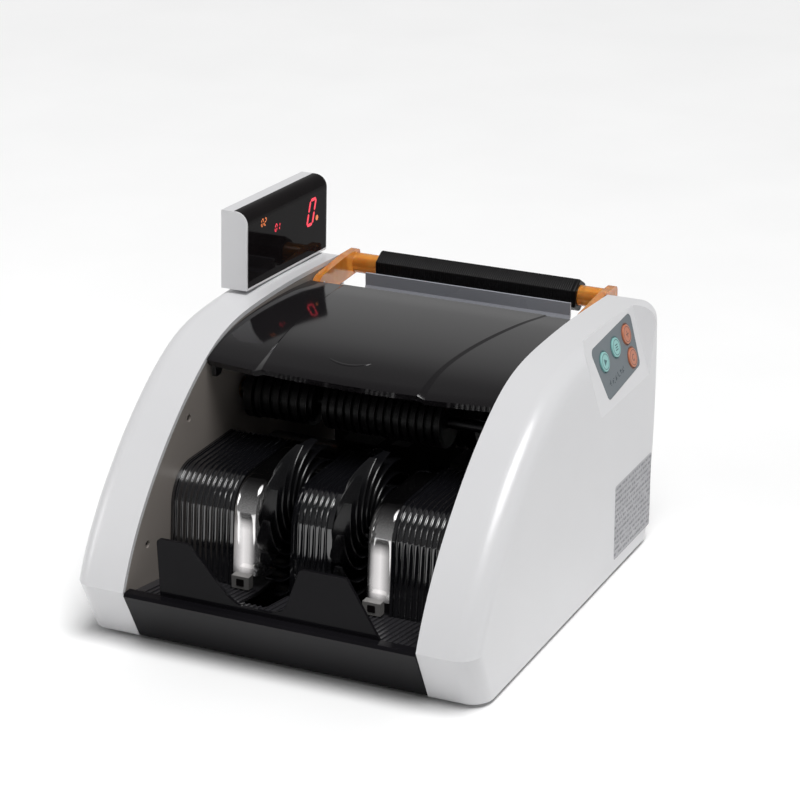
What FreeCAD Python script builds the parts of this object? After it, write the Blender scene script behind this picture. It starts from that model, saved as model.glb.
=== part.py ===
import FreeCAD, Part
import math
import os

import Sketcher
from FreeCAD import Placement, Rotation, Vector

# A desktop banknote counter. X runs to the machine's right, Y to its back, Z up.
# Every piece is drawn from the machine datum: the middle plane, the hopper's middle and
# the bottom edge of the casing. The common placement then puts the middle of the whole
# machine's footprint over the origin and the rubber feet on Z = 0.

doc = FreeCAD.newDocument("note_counter")

# ---------------------------------------------------------------- driving dimensions

SIZES = {
    "width": 270, "rim_width": 36.5, "wall": 3, "round_edge": 13,
    "foot_gap": 3, "centre_y": 14, "gap": 0.4,
    "nose_y": 150, "nose_z": 36, "toe_y": 132, "back_y": 158, "heel_y": 150,
    "body_top": 167, "plate": 2, "plate_inset": 3.4,
    "base_thick": 2.5, "base_z": 1.2,
    "cover_front": 38, "cover_bow": 4.5, "cover_rear": 108, "cover_thick": 2.6, "cover_skirt": 5,
    "guide_face": 88, "guide_lean": 4, "guide_top": 93, "guide_bend": 24, "guide_back": -8, "guide_thick": 2.4,
    "slot_inner": 14, "slot_outer": 36, "window_outer": 54,
    "rib_pitch": 3.8, "rib_wide": 1.5, "rib_high": 0.8,
    "shaft_rad": 4, "shaft_play": 0.05, "bush_rad": 7,
    "wheel_y": -60, "wheel_z": 64, "blade_tip": 51, "wheel_x": 25, "blade_wide": 14,
    "blade_count": 16, "blade_sweep": 88, "hub_rad": 12,
    "exit_y": 12, "exit_z": 115, "exit_rad": 17,
    "pinch_z": 141, "pinch_rad": 8.6,
    "drum_y": 62, "drum_z": 100, "drum_rad": 22,
    "kicker_y": 112, "kicker_z": 92, "kicker_rad": 16,
    "motor_y": 44, "motor_z": 45, "motor_rad": 27, "motor_long": 74,
    "lane": 6, "belt_wide": 4.4, "belt_thick": 1.4,
    "stop_y": 143, "stop_thick": 2, "stop_top": 74,
    "grip_y": 168, "grip_z": 154, "grip_flat": 19.7, "grip_half": 73.5,
    "pivot_y": 117, "pivot_z": 153, "arm_inner": 92.2, "arm_outer": 97.6,
    "display_x": 119.5, "display_front": 40, "display_long": 122, "display_tall": 52.6,
    "display_thick": 19, "display_tilt": 2.7, "display_base": 163.6, "post_y": 144,
    "pad_tilt": 16, "pad_z": 118, "key_rad": 6.4,
    "panel_thick": 2.5, "rear_top": 124,
}

sheet = doc.addObject("Spreadsheet::Sheet", "dims")
for row, (alias, value) in enumerate(SIZES.items(), start=1):
    sheet.set(f"A{row}", alias)
    sheet.set(f"B{row}", str(value))
    sheet.setAlias(f"B{row}", alias)
doc.recompute()


def size(rule):
    """The value, in mm, of a rule such as 'dims.width / 2', or of a plain number."""
    if not isinstance(rule, str):
        return float(rule)
    found = sheet.evalExpression(rule.replace("dims.", ""))
    return float(getattr(found, "Value", found))


class Sizes:
    def __getattr__(self, alias):
        return size(alias)


d = Sizes()
HALF = "dims.width / 2"
INNER = "(dims.width / 2 - dims.rim_width)"
half = d.width / 2
inner = half - d.rim_width

parts = {}


def bind(obj, prop, rule):
    if isinstance(rule, str):
        obj.setExpression(prop, rule)
    else:
        holder, _, last = prop.rpartition(".")
        obj.setExpression(prop, str(rule)) if holder else setattr(obj, last, rule)


def settle(obj, name, x=0, y=0, z=0, turn=None):
    """Names a finished sub-part and moves it from the machine datum to the part's frame."""
    obj.Label = name
    if turn is not None:
        obj.Placement = Placement(Vector(), turn)
    bind(obj, "Placement.Base.x", f"{x}")
    bind(obj, "Placement.Base.y", f"{y} - dims.centre_y")
    bind(obj, "Placement.Base.z", f"{z} + dims.foot_gap")
    parts[name] = obj
    return obj


# ---------------------------------------------------------------- sketch and body helpers


def body_of(name):
    body = doc.addObject("PartDesign::Body", name)
    return body


def plane_of(body, role):
    return next(f for f in body.Origin.OriginFeatures if f.Role == role)


def sketch_on(body, role, offset=0):
    sketch = body.newObject("Sketcher::SketchObject", f"{body.Name}_sketch")
    sketch.AttachmentSupport = [(plane_of(body, role), "")]
    sketch.MapMode = "FlatFace"
    if isinstance(offset, str) or offset:
        sketch.setExpression("AttachmentOffset.Base.z", f"{offset}")
    return sketch


def fix_point(sketch, geo, pos, x, y):
    """Holds a sketch point at (x, y) from the sketch's origin, bound to the sheet."""
    for kind, rule, axis in (("DistanceX", x, -2), ("DistanceY", y, -1)):
        value = size(rule)
        if abs(value) < 1e-9:
            sketch.addConstraint(Sketcher.Constraint("PointOnObject", geo, pos, axis))
            continue
        ends = (-1, 1, geo, pos) if value > 0 else (geo, pos, -1, 1)
        index = sketch.addConstraint(Sketcher.Constraint(kind, *ends, abs(value)))
        if isinstance(rule, str):
            sign = "" if value > 0 else "-1 * "
            sketch.setExpression(f"Constraints[{index}]", f"{sign}({rule})")


def polygon(sketch, corners):
    """A closed outline of straight sides through corners given as pairs of rules."""
    at = [Vector(size(x), size(y), 0) for x, y in corners]
    first = sketch.GeometryCount
    for start, end in zip(at, at[1:] + at[:1]):
        sketch.addGeometry(Part.LineSegment(start, end), False)
    for i, (x, y) in enumerate(corners):
        before = first + (i - 1) % len(corners)
        sketch.addConstraint(Sketcher.Constraint("Coincident", before, 2, first + i, 1))
        fix_point(sketch, first + i, 1, x, y)


def rectangle(sketch, x0, y0, x1, y1):
    polygon(sketch, [(x0, y0), (x1, y0), (x1, y1), (x0, y1)])


def circle(sketch, x, y, radius):
    at = Vector(size(x), size(y), 0)
    geo = sketch.addGeometry(Part.Circle(at, Vector(0, 0, 1), size(radius)), False)
    fix_point(sketch, geo, 3, x, y)
    index = sketch.addConstraint(Sketcher.Constraint("Radius", geo, size(radius)))
    if isinstance(radius, str):
        sketch.setExpression(f"Constraints[{index}]", radius)


def pad(body, sketch, length, middle=False, back=False):
    grown = body.newObject("PartDesign::Pad", f"{body.Name}_pad")
    grown.Profile = sketch
    bind(grown, "Length", length)
    grown.Midplane = middle
    grown.Reversed = back
    return grown


def pocket(body, sketch, length=0, back=False, middle=False):
    doc.recompute()
    before = body.Shape.Volume
    cut = body.newObject("PartDesign::Pocket", f"{body.Name}_pocket")
    cut.Profile = sketch
    if length:
        bind(cut, "Length", length)
    else:
        cut.Type = "ThroughAll"
    cut.Midplane = middle
    cut.Reversed = back
    doc.recompute()
    if not body.Shape.Volume < before - 1e-3:
        raise RuntimeError(f"the pocket in {body.Name} cuts nothing")
    return cut


def turned(name, steps, y, z, x=0, bore=0, whole=True):
    """A round piece about X. Steps are (start x, end x, radius), left to right."""
    body = body_of(name)
    sketch = sketch_on(body, "XY_Plane")
    outline = [(steps[0][0], bore)]
    for i, (start, end, radius) in enumerate(steps):
        if i and size(steps[i - 1][2]) == size(radius):
            outline.pop()
        else:
            outline.append((start, radius))
        outline.append((end, radius))
    outline.append((steps[-1][1], bore))
    polygon(sketch, outline)
    spun = body.newObject("PartDesign::Revolution", f"{name}_turn")
    spun.Profile = sketch
    spun.ReferenceAxis = (sketch, ["H_Axis"])
    spun.Angle = 360
    return settle(body, name, x, y, z) if whole else body


# ---------------------------------------------------------------- primitive helpers


def block(x, y, z, corner, name="block"):
    """A Part::Box tool: its three lengths and its low corner, each a rule."""
    made = doc.addObject("Part::Box", name)
    for prop, rule in zip(("Length", "Width", "Height"), (x, y, z)):
        bind(made, prop, rule)
    for axis, rule in zip("xyz", corner):
        bind(made, f"Placement.Base.{axis}", f"{rule}")
    return made


def rod(radius, length, corner, along="Z", name="rod"):
    """A Part::Cylinder tool from its base centre, along one axis."""
    made = doc.addObject("Part::Cylinder", name)
    bind(made, "Radius", radius)
    bind(made, "Height", length)
    turns = {"X": Rotation(Vector(0, 1, 0), 90), "Y": Rotation(Vector(1, 0, 0), -90), "Z": Rotation()}
    made.Placement = Placement(Vector(), turns[along])
    for axis, rule in zip("xyz", corner):
        bind(made, f"Placement.Base.{axis}", f"{rule}")
    return made


def fused(name, pieces):
    whole = doc.addObject("Part::MultiFuse", name)
    whole.Shapes = pieces
    return whole


def cut(name, base, tool):
    left = doc.addObject("Part::Cut", name)
    left.Base = base
    left.Tool = tool
    return left


def group(name, pieces, **where):
    """Equal separate solids that share one node."""
    held = doc.addObject("Part::Compound", name)
    held.Links = pieces
    return settle(held, name, **where)


def feature(name, *shapes, **where):
    """A sub-part of one or more solids made with Part's own functions."""
    made = doc.addObject("Part::Feature", name)
    made.Shape = Part.makeCompound(list(shapes))
    return settle(made, name, **where)


# ---------------------------------------------------------------- shape functions


def curve(points):
    spline = Part.BSplineCurve()
    spline.interpolate([Vector(0, y, z) for y, z in points])
    return spline


def side_face(edges):
    """The flat face, in the YZ plane, that a closed run of edges bounds."""
    return Part.Face(Part.Wire(Part.__sortEdges__(edges)))


def line(*ends):
    return Part.makeLine(*[Vector(0, y, z) for y, z in ends])


def spread(face, x0, x1):
    """A face in the YZ plane drawn out from x0 to x1."""
    moved = face.copy()
    moved.translate(Vector(x0, 0, 0))
    return moved.extrude(Vector(x1 - x0, 0, 0))


def mirrored(shape):
    return shape.mirror(Vector(), Vector(1, 0, 0))


def box_at(x0, x1, y0, y1, z0, z1):
    return Part.makeBox(x1 - x0, y1 - y0, z1 - z0, Vector(x0, y0, z0))


def rod_x(x0, x1, y, z, radius):
    return Part.makeCylinder(radius, x1 - x0, Vector(x0, y, z), Vector(1, 0, 0))


# The casing's side outline: nose, long brow up to the flat top, square back.
BROW = [(-d.nose_y, d.nose_z), (-137, 61), (-104.5, 101), (-56, 141), (-17, 160.5),
        (35, d.body_top), (95, d.body_top - 0.6), (d.back_y + 0.5, 162.6)]


def casing_face(inset=0):
    """The side outline, drawn in by a wall thickness."""
    brow = curve(BROW).toShape()
    heel, crown, waist = (d.heel_y, 0), BROW[-1], (d.back_y + 2.5, 85)
    back = Part.Arc(*[Vector(0, y, z) for y, z in (heel, waist, crown)]).toShape()
    face = side_face([brow, back, line(heel, (-d.toe_y, 0)), line((-d.toe_y, 0), BROW[0])])
    if inset:
        wire = face.makeOffset2D(-inset, 2).Wires[0]
        edges = [e.Curve.toBSpline(e.FirstParameter, e.LastParameter).toShape()
                 if e.Curve.TypeId == "Part::GeomOffsetCurve" else e for e in wire.Edges]
        face = side_face(edges)
    return face


# ---------------------------------------------------------------- casing

# Keypad corners and keys on the sloping flat: along Y, and up the slope from its foot.
PAD_CORNERS = [(68, 5.5), (127, 10.5), (130, 45.5), (58, 42)]
KEYS = {"key_start": (74.5, 29.7), "key_mode": (95.7, 32.4), "key_add": (116.3, 34.6),
        "key_reset": (117.2, 18.4)}


def on_slope(shape):
    """Lays a shape drawn in (y, up, out) on the keypad's sloping flat."""
    lean = Rotation(Vector(0, 1, 0), -d.pad_tilt)
    stand = Placement(Vector(half, 0, d.pad_z), lean)
    upright = Placement(Vector(), Rotation(Vector(0, 1, 0), 90).multiply(Rotation(Vector(0, 0, 1), 90)))
    laid = shape.copy()
    laid.Placement = stand.multiply(upright).multiply(laid.Placement)
    return laid


def pad_plate(low, high, grow=0):
    """The keypad's outline as a plate between two depths, with rounded corners."""
    wire = Part.makePolygon([Vector(y, up, low) for y, up in PAD_CORNERS + PAD_CORNERS[:1]])
    plate = Part.Face(wire).extrude(Vector(0, 0, high - low))
    plate = plate.makeFillet(4, [e for e in plate.Edges if e.BoundBox.ZLength > 0.9 * (high - low)])
    if not grow:
        return plate
    outline = min(plate.Faces, key=lambda f: f.CenterOfMass.z).makeOffset2D(grow)
    return Part.Face(outline.Wires[0]).extrude(Vector(0, 0, high - low))


def scoop(deep):
    """What the sloping flat takes off the shoulder, with a long ramp ahead and a short one behind."""
    front, rear, out = 50, 137, 20
    flat = Part.makePolygon([Vector(front, 0, -deep), Vector(rear, 0, -deep),
                             Vector(rear + out, 0, out - deep), Vector(front - 2.2 * out, 0, out - deep),
                             Vector(front, 0, -deep)])
    return Part.Face(flat).extrude(Vector(0, 70, 0)).translated(Vector(0, -10, 0))


def side_cover(sloped):
    outer = spread(casing_face(), inner, half)
    crown = [e for e in outer.Edges if e.BoundBox.XLength > 30 and e.BoundBox.ZMin > 150]
    outer = outer.makeFillet(8, crown)
    rounded = [e for e in outer.Edges
               if e.BoundBox.XMin > half - 0.01 and not (e.BoundBox.ZMax < 0.01)]
    outer = outer.makeFillet(d.round_edge, rounded)
    hollow = spread(casing_face(d.wall), inner - 1, half - d.wall)
    rounded = [e for e in hollow.Edges
               if e.BoundBox.XMin > half - d.wall - 0.01 and e.BoundBox.ZMax > 10]
    hollow = hollow.makeFillet(d.round_edge - d.wall, rounded)
    hollow = hollow.fuse(box_at(inner - 1, half - d.wall, -d.toe_y + 14, d.heel_y - 14, -1, 12))
    if sloped:
        outer, hollow = outer.cut(on_slope(scoop(0))), hollow.cut(on_slope(scoop(d.wall)))
    shell = outer.cut(hollow)
    screw_bosses = [rod_x(inner + d.plate + 0.4, half - d.wall + 0.5, y, z, 4)
                    for y, z in ((-104, 60), (-104, 16), (130, 16), (136, 112))]
    for boss in screw_bosses:
        shell = shell.fuse(boss)
    return shell.removeSplitter()


lean = Rotation(Vector(1, 0, 0), -d.display_tilt)
post_seat = Part.makeCylinder(4.05, 14, Vector(0, 0, -10)).fuse(
    Part.makeCylinder(6.8, 8, Vector(0, 0, -0.65)))
post_seat.Placement = Placement(Vector(-d.display_x, d.post_y, d.display_base), lean)
feature("side_cover_left", mirrored(side_cover(False)).cut(post_seat))

shell = side_cover(True).cut(on_slope(pad_plate(-1.8, 20, 0.25)))
for y, up in KEYS.values():
    shell = shell.cut(on_slope(Part.makeCylinder(3.1, 6, Vector(y, up, -6))))
feature("side_cover_right", shell)

bottom = body_of("base_plate")
outline = sketch_on(bottom, "XY_Plane", "dims.base_z")
wide, slim = f"({HALF} - dims.wall - dims.gap)", f"({INNER} - 0.2)"
front, rear = "-1 * dims.toe_y + 5", "dims.heel_y - 4"
low, high = "-1 * dims.toe_y + 14.5", "dims.heel_y - 14.5"
polygon(outline, [(f"-1 * {slim}", front), (slim, front), (slim, low), (wide, low), (wide, high),
                  (slim, high), (slim, rear), (f"-1 * {slim}", rear), (f"-1 * {slim}", high),
                  (f"-1 * {wide}", high), (f"-1 * {wide}", low), (f"-1 * {slim}", low)])
pad(bottom, outline, "dims.base_thick")
vents = sketch_on(bottom, "XY_Plane", "dims.base_z")
for i in range(6):
    rectangle(vents, -88, 60 + 10 * i, -58, 65 + 10 * i)
pocket(bottom, vents, back=True)
settle(bottom, "base_plate")

feet = [rod("8", "dims.base_z + dims.foot_gap", (x, y, "-1 * dims.foot_gap"))
        for x in (-110, 110) for y in (-105, 125)]
group("rubber_feet", feet)

apron = body_of("front_panel")
outline = sketch_on(apron, "YZ_Plane")
polygon(outline, [("-1 * dims.toe_y", 0.4), ("-1 * dims.nose_y", "dims.nose_z - 2"),
                  ("-1 * dims.nose_y + 1.2", "dims.nose_z"), ("-1 * dims.stop_y + 1", "dims.nose_z"),
                  ("-1 * dims.stop_y + 1", "dims.nose_z - 2.4"),
                  ("-1 * dims.nose_y + 4", "dims.nose_z - 2.6"), ("-1 * dims.toe_y + 2.8", 0.4)])
pad(apron, outline, f"2 * ({INNER} - dims.gap)", middle=True)
settle(apron, "front_panel")

wall_holes = [(d.wheel_y, d.wheel_z), (d.exit_y, d.exit_z), (d.exit_y, d.pinch_z),
              (d.drum_y, d.drum_z), (d.kicker_y, d.kicker_z)]


def side_plate():
    face = casing_face(d.plate_inset)
    plate = spread(face, inner, inner + d.plate)
    floor = box_at(inner - 1, inner + d.plate + 1, -200, 200, -1, d.base_z + d.base_thick)
    plate = plate.cut(floor)
    for y, z in wall_holes:
        plate = plate.cut(rod_x(inner - 1, inner + 4, y, z, d.bush_rad))
    for y, z in ((-61.5, 119.5), (-118, 56), (d.pivot_y, d.pivot_z), (100, 156)):
        plate = plate.cut(rod_x(inner - 1, inner + 4, y, z, 2.5 if y < 0 else 3))
    return plate


plate = side_plate()
feature("side_plate_right", plate)
feature("side_plate_left", mirrored(plate).cut(rod_x(-inner - 4, -inner + 1, d.motor_y, d.motor_z, 12)))

back = body_of("rear_panel")
outline = sketch_on(back, "XZ_Plane", "-1 * dims.heel_y + 4")
rectangle(outline, f"-1 * ({INNER} - dims.gap)", "dims.base_z + dims.base_thick + 0.1",
          f"{INNER} - dims.gap", "dims.rear_top")
pad(back, outline, "dims.panel_thick")
cutouts = sketch_on(back, "XZ_Plane", "-1 * dims.heel_y + 4")
rectangle(cutouts, -86, 18, -58, 38)
rectangle(cutouts, -50, 18, -37, 38)
circle(cutouts, 0, 104, 4.2)
for i in range(8):
    rectangle(cutouts, 30, f"18 + {7 * i}", 80, f"21.5 + {7 * i}")
pocket(back, cutouts, middle=True)
settle(back, "rear_panel")

bars = [rod(3, f"2 * {INNER} - 0.1", (f"-1 * {INNER} + 0.05", y, z), "X")
        for y, z in ((-118, 16), (80, 12), (84, 142))]
group("tie_bars", bars)

# ---------------------------------------------------------------- stacker

guide_foot = -d.guide_face - d.guide_lean
floor_rise = (d.nose_z - 2.5 - 25.5) / (d.stop_y + guide_foot)


def floor_z(y):
    """Height of the stacker floor's top, which falls towards the back."""
    return 25.5 + floor_rise * (guide_foot - y)


def stacker_floor():
    front, rear, thick = -d.stop_y + 1.4, -30, 2.2
    face = side_face([line((front, floor_z(front)), (guide_foot, 25.5)),
                      line((guide_foot, 25.5), (rear, 25.5)),
                      line((rear, 25.5), (rear, 25.5 - thick)),
                      line((rear, 25.5 - thick), (guide_foot, 25.5 - thick)),
                      line((guide_foot, 25.5 - thick), (front, floor_z(front) - thick)),
                      line((front, floor_z(front) - thick), (front, floor_z(front)))])
    tray = spread(face, -inner + d.gap, inner - d.gap)
    y0, y1 = front + 3, guide_foot - 0.3
    rib_face = side_face([line((y0, floor_z(y0) - 0.5), (y1, floor_z(y1) - 0.5)),
                          line((y1, floor_z(y1) - 0.5), (y1, floor_z(y1) + d.rib_high)),
                          line((y1, floor_z(y1) + d.rib_high), (y0, floor_z(y0) + d.rib_high)),
                          line((y0, floor_z(y0) + d.rib_high), (y0, floor_z(y0) - 0.5))])
    count = int((inner - 4) / d.rib_pitch)
    ribs = [spread(rib_face, i * d.rib_pitch - d.rib_wide / 2, i * d.rib_pitch + d.rib_wide / 2)
            for i in range(-count, count + 1)]
    tray = tray.multiFuse(ribs)
    for side in (-1, 1):
        x0, x1 = sorted((side * (d.slot_inner + 1), side * (d.slot_outer - 1)))
        tray = tray.cut(box_at(x0, x1, -d.guide_face - 32, rear + 1, 15, 45))
    return tray


feature("stacker_floor", stacker_floor())


def guide_face(inset=0):
    """Side view of a guide: leaning face, one bend, and the deck back to the exit roller."""
    y0, top, bend = -d.guide_face + inset, d.guide_top - inset, d.guide_bend - inset
    foot, rear, lean = 26.2, d.guide_back, d.guide_lean
    inside_y, inside_z = y0 + d.guide_thick, top - d.guide_thick
    small = bend - d.guide_thick
    c = Vector(0, y0 + bend, top - bend)

    def arc(r):
        mid = c + Vector(0, -r * math.sqrt(0.5), r * math.sqrt(0.5))
        return Part.Arc(c + Vector(0, -r, 0), mid, c + Vector(0, 0, r)).toShape()

    return side_face([line((y0 - lean, foot), (y0, top - bend)), arc(bend),
                      line((y0 + bend, top), (rear, top)), line((rear, top), (rear, inside_z)),
                      line((rear, inside_z), (y0 + bend, inside_z)), arc(small),
                      line((inside_y, top - bend), (inside_y - lean, foot)),
                      line((inside_y - lean, foot), (y0 - lean, foot))])


def guide_side():
    """The cheek that closes the end of a guide."""
    y0, top, bend = -d.guide_face, d.guide_top, d.guide_bend
    c = Vector(0, y0 + bend, top - bend)
    mid = c + Vector(0, -bend * math.sqrt(0.5), bend * math.sqrt(0.5))
    arc = Part.Arc(c + Vector(0, -bend, 0), mid, c + Vector(0, 0, bend)).toShape()
    rear = d.guide_back
    return side_face([line((guide_foot, 26.2), (y0, top - bend)), arc, line((y0 + bend, top), (rear, top)),
                      line((rear, top), (rear, top - 10)), line((rear, top - 10), (guide_foot + 14, 26.2)),
                      line((guide_foot + 14, 26.2), (guide_foot, 26.2))])


def ribbed_guide(x0, x1, cheeks):
    sheet_face, rib_face = guide_face(d.rib_high), guide_face()
    made = spread(sheet_face, x0, x1)
    count = int((x1 - x0 - 1.5) / d.rib_pitch)
    start = (x0 + x1 - (count - 1) * d.rib_pitch) / 2
    for i in range(count):
        at = start + i * d.rib_pitch
        made = made.fuse(spread(rib_face, at - d.rib_wide / 2, at + d.rib_wide / 2))
    for at in cheeks:
        made = made.fuse(spread(guide_side(), at, at + 1.8))
    return made.cut(shaft_way).removeSplitter()


edge = inner - d.gap
shaft_way = rod_x(-200, 200, d.wheel_y, d.wheel_z, d.shaft_rad + 2)
feature("stacker_guide_left", ribbed_guide(-edge, -d.window_outer - 0.1, (-edge, -d.window_outer - 1.9)))
feature("stacker_guide_middle", ribbed_guide(-d.slot_inner, d.slot_inner,
                                             (-d.slot_inner, d.slot_inner - 1.8)))
feature("stacker_guide_right", ribbed_guide(d.window_outer + 0.1, edge, (d.window_outer + 0.1, edge - 1.8)))
window = spread(guide_face(0.4), d.slot_outer, d.window_outer)
window = window.fuse(spread(guide_side(), d.slot_outer, d.slot_outer + 1.8)).cut(shaft_way)
feature("sensor_windows", window, mirrored(window))

# Small sensor blocks at the foot of each window.
blocks = [box_at(x - 6, x + 6, guide_foot - 6, guide_foot - 0.1, 27.6, 36)
          for x in (side * (d.slot_outer + d.window_outer) / 2 for side in (-1, 1))]
feature("stack_sensors", *blocks)

stopper = body_of("note_stop_plate")
outline = sketch_on(stopper, "XZ_Plane", "dims.stop_y - dims.stop_thick")
base = "dims.nose_z + 0.1"
polygon(outline, [(-76, base), (-77, "dims.stop_top"), (-56, "dims.stop_top"), (-30, 47),
                  (-24, 42.5), (-15, 40), (1, 40), (8, 43), (12, 48), (20, "dims.stop_top - 2"),
                  (50, "dims.stop_top - 2"), (72, base)])
pad(stopper, outline, "dims.stop_thick")
settle(stopper, "note_stop_plate")

# ---------------------------------------------------------------- impellers


def impeller():
    """A hub with soft curved fingers whose tips trail behind their roots."""
    wide = d.blade_wide
    wheel = Part.makeCylinder(d.hub_rad, wide, Vector(-wide / 2, 0, 0), Vector(1, 0, 0))
    start, end = d.hub_rad - 1, d.blade_tip
    for i in range(int(d.blade_count)):
        turn = 2 * math.pi * i / d.blade_count
        near, far = [], []
        for share in (0, 0.5, 1):
            radius = start + (end - start) * share
            angle = turn - math.radians(d.blade_sweep) * share
            p = Vector(0, radius * math.cos(angle), radius * math.sin(angle))
            near.append(p)
            far.append(p + Vector(0, -p.z, p.y).normalize() * (2.4 - 1.2 * share))
        face = side_face([Part.Arc(*near).toShape(), Part.makeLine(near[2], far[2]),
                          Part.Arc(*far).toShape(), Part.makeLine(far[0], near[0])])
        wheel = wheel.fuse(spread(face, -wide / 2, wide / 2))
    bore = Part.makeCylinder(d.shaft_rad, wide + 2, Vector(-wide / 2 - 1, 0, 0), Vector(1, 0, 0))
    return wheel.cut(bore).removeSplitter()


finger_wheels = [impeller(), impeller()]
for wheel, side in zip(finger_wheels, (-1, 1)):
    wheel.translate(Vector(side * d.wheel_x, 0, 0))
feature("impeller_wheels", *finger_wheels, y="dims.wheel_y", z="dims.wheel_z")

# ---------------------------------------------------------------- shafts and rollers

# Belt lanes lie outside the left side plate, one behind the other.
lane_start = f"-1 * ({INNER} + dims.plate + 3)"


def lane_x(index):
    """The right-hand side of belt lane number index."""
    return f"{lane_start} - {index} * dims.lane"


def shaft(name, y, z, lanes):
    tail = f"{lane_x(lanes)}" if lanes else f"-1 * ({INNER} + dims.plate + 1)"
    return turned(name, [(tail, f"{INNER} + dims.plate + 1", "dims.shaft_rad")], y, z)


shaft("impeller_shaft", "dims.wheel_y", "dims.wheel_z", 4)
shaft("exit_shaft", "dims.exit_y", "dims.exit_z", 4)
shaft("pinch_shaft", "dims.exit_y", "dims.pinch_z", 0)
shaft("drum_shaft", "dims.drum_y", "dims.drum_z", 3)
shaft("kicker_shaft", "dims.kicker_y", "dims.kicker_z", 3)


def roller(x0, x1, radius, pitch=0):
    """A roller on a shaft, plain, or with a rim that is a row of narrow rings."""
    steps, at = [(x0, x1, radius)], x0
    if pitch:
        steps = []
        while at < x1 - 0.5 * pitch:
            steps.append((at, at + 0.6 * pitch, radius))
            steps.append((at + 0.6 * pitch, min(at + pitch, x1), f"{radius} - 2.5"))
            at += pitch
    return turned("roller", steps, 0, 0, bore="dims.shaft_rad", whole=False)


exit_rollers = [roller(-82, -42, "dims.exit_rad", 6.6), roller(-34, 48, "dims.exit_rad", 5.6),
                roller(-90, -84, "dims.exit_rad + 1"), roller(84, 90, "dims.exit_rad + 1")]
group("exit_rollers", exit_rollers, y="dims.exit_y", z="dims.exit_z")
group("pinch_rollers", [roller(x0, x0 + 8, "dims.pinch_rad") for x0 in (-60, 52)],
      y="dims.exit_y", z="dims.pinch_z")
group("drum_rollers", [roller(x0, x0 + 28, "dims.drum_rad", 7) for x0 in (-52, 24)],
      y="dims.drum_y", z="dims.drum_z")
group("kicker_rollers", [roller(x0, x0 + 16, "dims.kicker_rad") for x0 in (-46, 30)],
      y="dims.kicker_y", z="dims.kicker_z")


def bush(side, y, z):
    """A flanged bush pressed into a side plate from outside."""
    x0 = side * inner
    sleeve = rod_x(min(x0, x0 + side * d.plate), max(x0, x0 + side * d.plate), y, z, d.bush_rad)
    x1 = side * (inner + d.plate)
    flange = rod_x(min(x1, x1 + side * 0.9), max(x1, x1 + side * 0.9), y, z, d.bush_rad + 2)
    bore = rod_x(-200, 200, y, z, d.shaft_rad + d.shaft_play)
    return sleeve.fuse(flange).cut(bore)


feature("shaft_bushes", *[bush(side, y, z) for side in (-1, 1) for y, z in wall_holes])

# ---------------------------------------------------------------- drive

lane0 = size(lane_start)


def pulley(name, lanes, y, z, bore="dims.shaft_rad"):
    """A flanged belt pulley over one or more lanes, given as {lane: radius}."""
    steps = []
    for lane in sorted(lanes, reverse=True):
        left = f"{lane_start} - {lane + 1} * dims.lane"
        steps.append((left, f"{left} + 0.7", lanes[lane] + 1.6))
        steps.append((f"{left} + 0.7", f"{left} + dims.lane - 0.7", lanes[lane]))
        steps.append((f"{left} + dims.lane - 0.7", f"{left} + dims.lane", lanes[lane] + 1.6))
    return turned(name, steps, y, z, bore=bore)


AT = {"motor": (d.motor_y, d.motor_z), "drum": (d.drum_y, d.drum_z), "exit": (d.exit_y, d.exit_z),
      "kicker": (d.kicker_y, d.kicker_z), "impeller": (d.wheel_y, d.wheel_z)}
pulley("drum_pulley", {0: 16, 1: 12, 2: 12}, "dims.drum_y", "dims.drum_z")
pulley("exit_pulley", {1: 12, 3: 12}, "dims.exit_y", "dims.exit_z")
pulley("kicker_pulley", {2: 12}, "dims.kicker_y", "dims.kicker_z")
pulley("impeller_pulley", {3: 24}, "dims.wheel_y", "dims.wheel_z")


def stadium(one, two, ra, rb, grow):
    """The taut outline round two circles, in the YZ plane."""
    a, b = Vector(0, *one), Vector(0, *two)
    ra, rb = ra + grow, rb + grow
    way = b - a
    reach = way.Length
    way.normalize()
    side = Vector(0, -way.z, way.y)
    lean = math.acos((ra - rb) / reach)
    edges = []
    ends = []
    for sign in (1, -1):
        out = way * math.cos(lean) + side * (sign * math.sin(lean))
        ends.append((a + out * ra, b + out * rb))
        edges.append(Part.makeLine(*ends[-1]))
    edges.append(Part.Arc(ends[0][0], a - way * ra, ends[1][0]).toShape())
    edges.append(Part.Arc(ends[0][1], b + way * rb, ends[1][1]).toShape())
    return side_face(edges)


def belt(lane, one, two, ra, rb):
    slack = 0.35
    loop = stadium(AT[one], AT[two], ra, rb, slack + d.belt_thick).cut(
        stadium(AT[one], AT[two], ra, rb, slack))
    x1 = lane0 - lane * d.lane - 0.8
    return spread(loop.Faces[0], x1 - d.belt_wide, x1)


feature("drive_belts", belt(0, "motor", "drum", 8, 16), belt(1, "drum", "exit", 12, 12),
        belt(2, "drum", "kicker", 12, 12), belt(3, "exit", "impeller", 12, 24))

left_inner = f"-1 * {INNER}"
turned("main_motor", [(f"{left_inner} + 0.1", f"{left_inner} + 3", 10),
                      (f"{left_inner} + 3", f"{left_inner} + 3 + dims.motor_long", "dims.motor_rad"),
                      (f"{left_inner} + 3 + dims.motor_long", f"{left_inner} + 9 + dims.motor_long", 9)],
       "dims.motor_y", "dims.motor_z", bore=2.55)
left = f"{lane_start} - dims.lane"
turned("motor_spindle", [(left, f"{left} + 0.7", 9.6), (f"{left} + 0.7", f"{left} + dims.lane - 0.7", 8),
                         (f"{left} + dims.lane - 0.7", f"{left} + dims.lane", 9.6),
                         (f"{left} + dims.lane", f"{left_inner} + 14 + dims.motor_long", 2.5)],
       "dims.motor_y", "dims.motor_z")

# ---------------------------------------------------------------- hopper and note path


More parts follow.
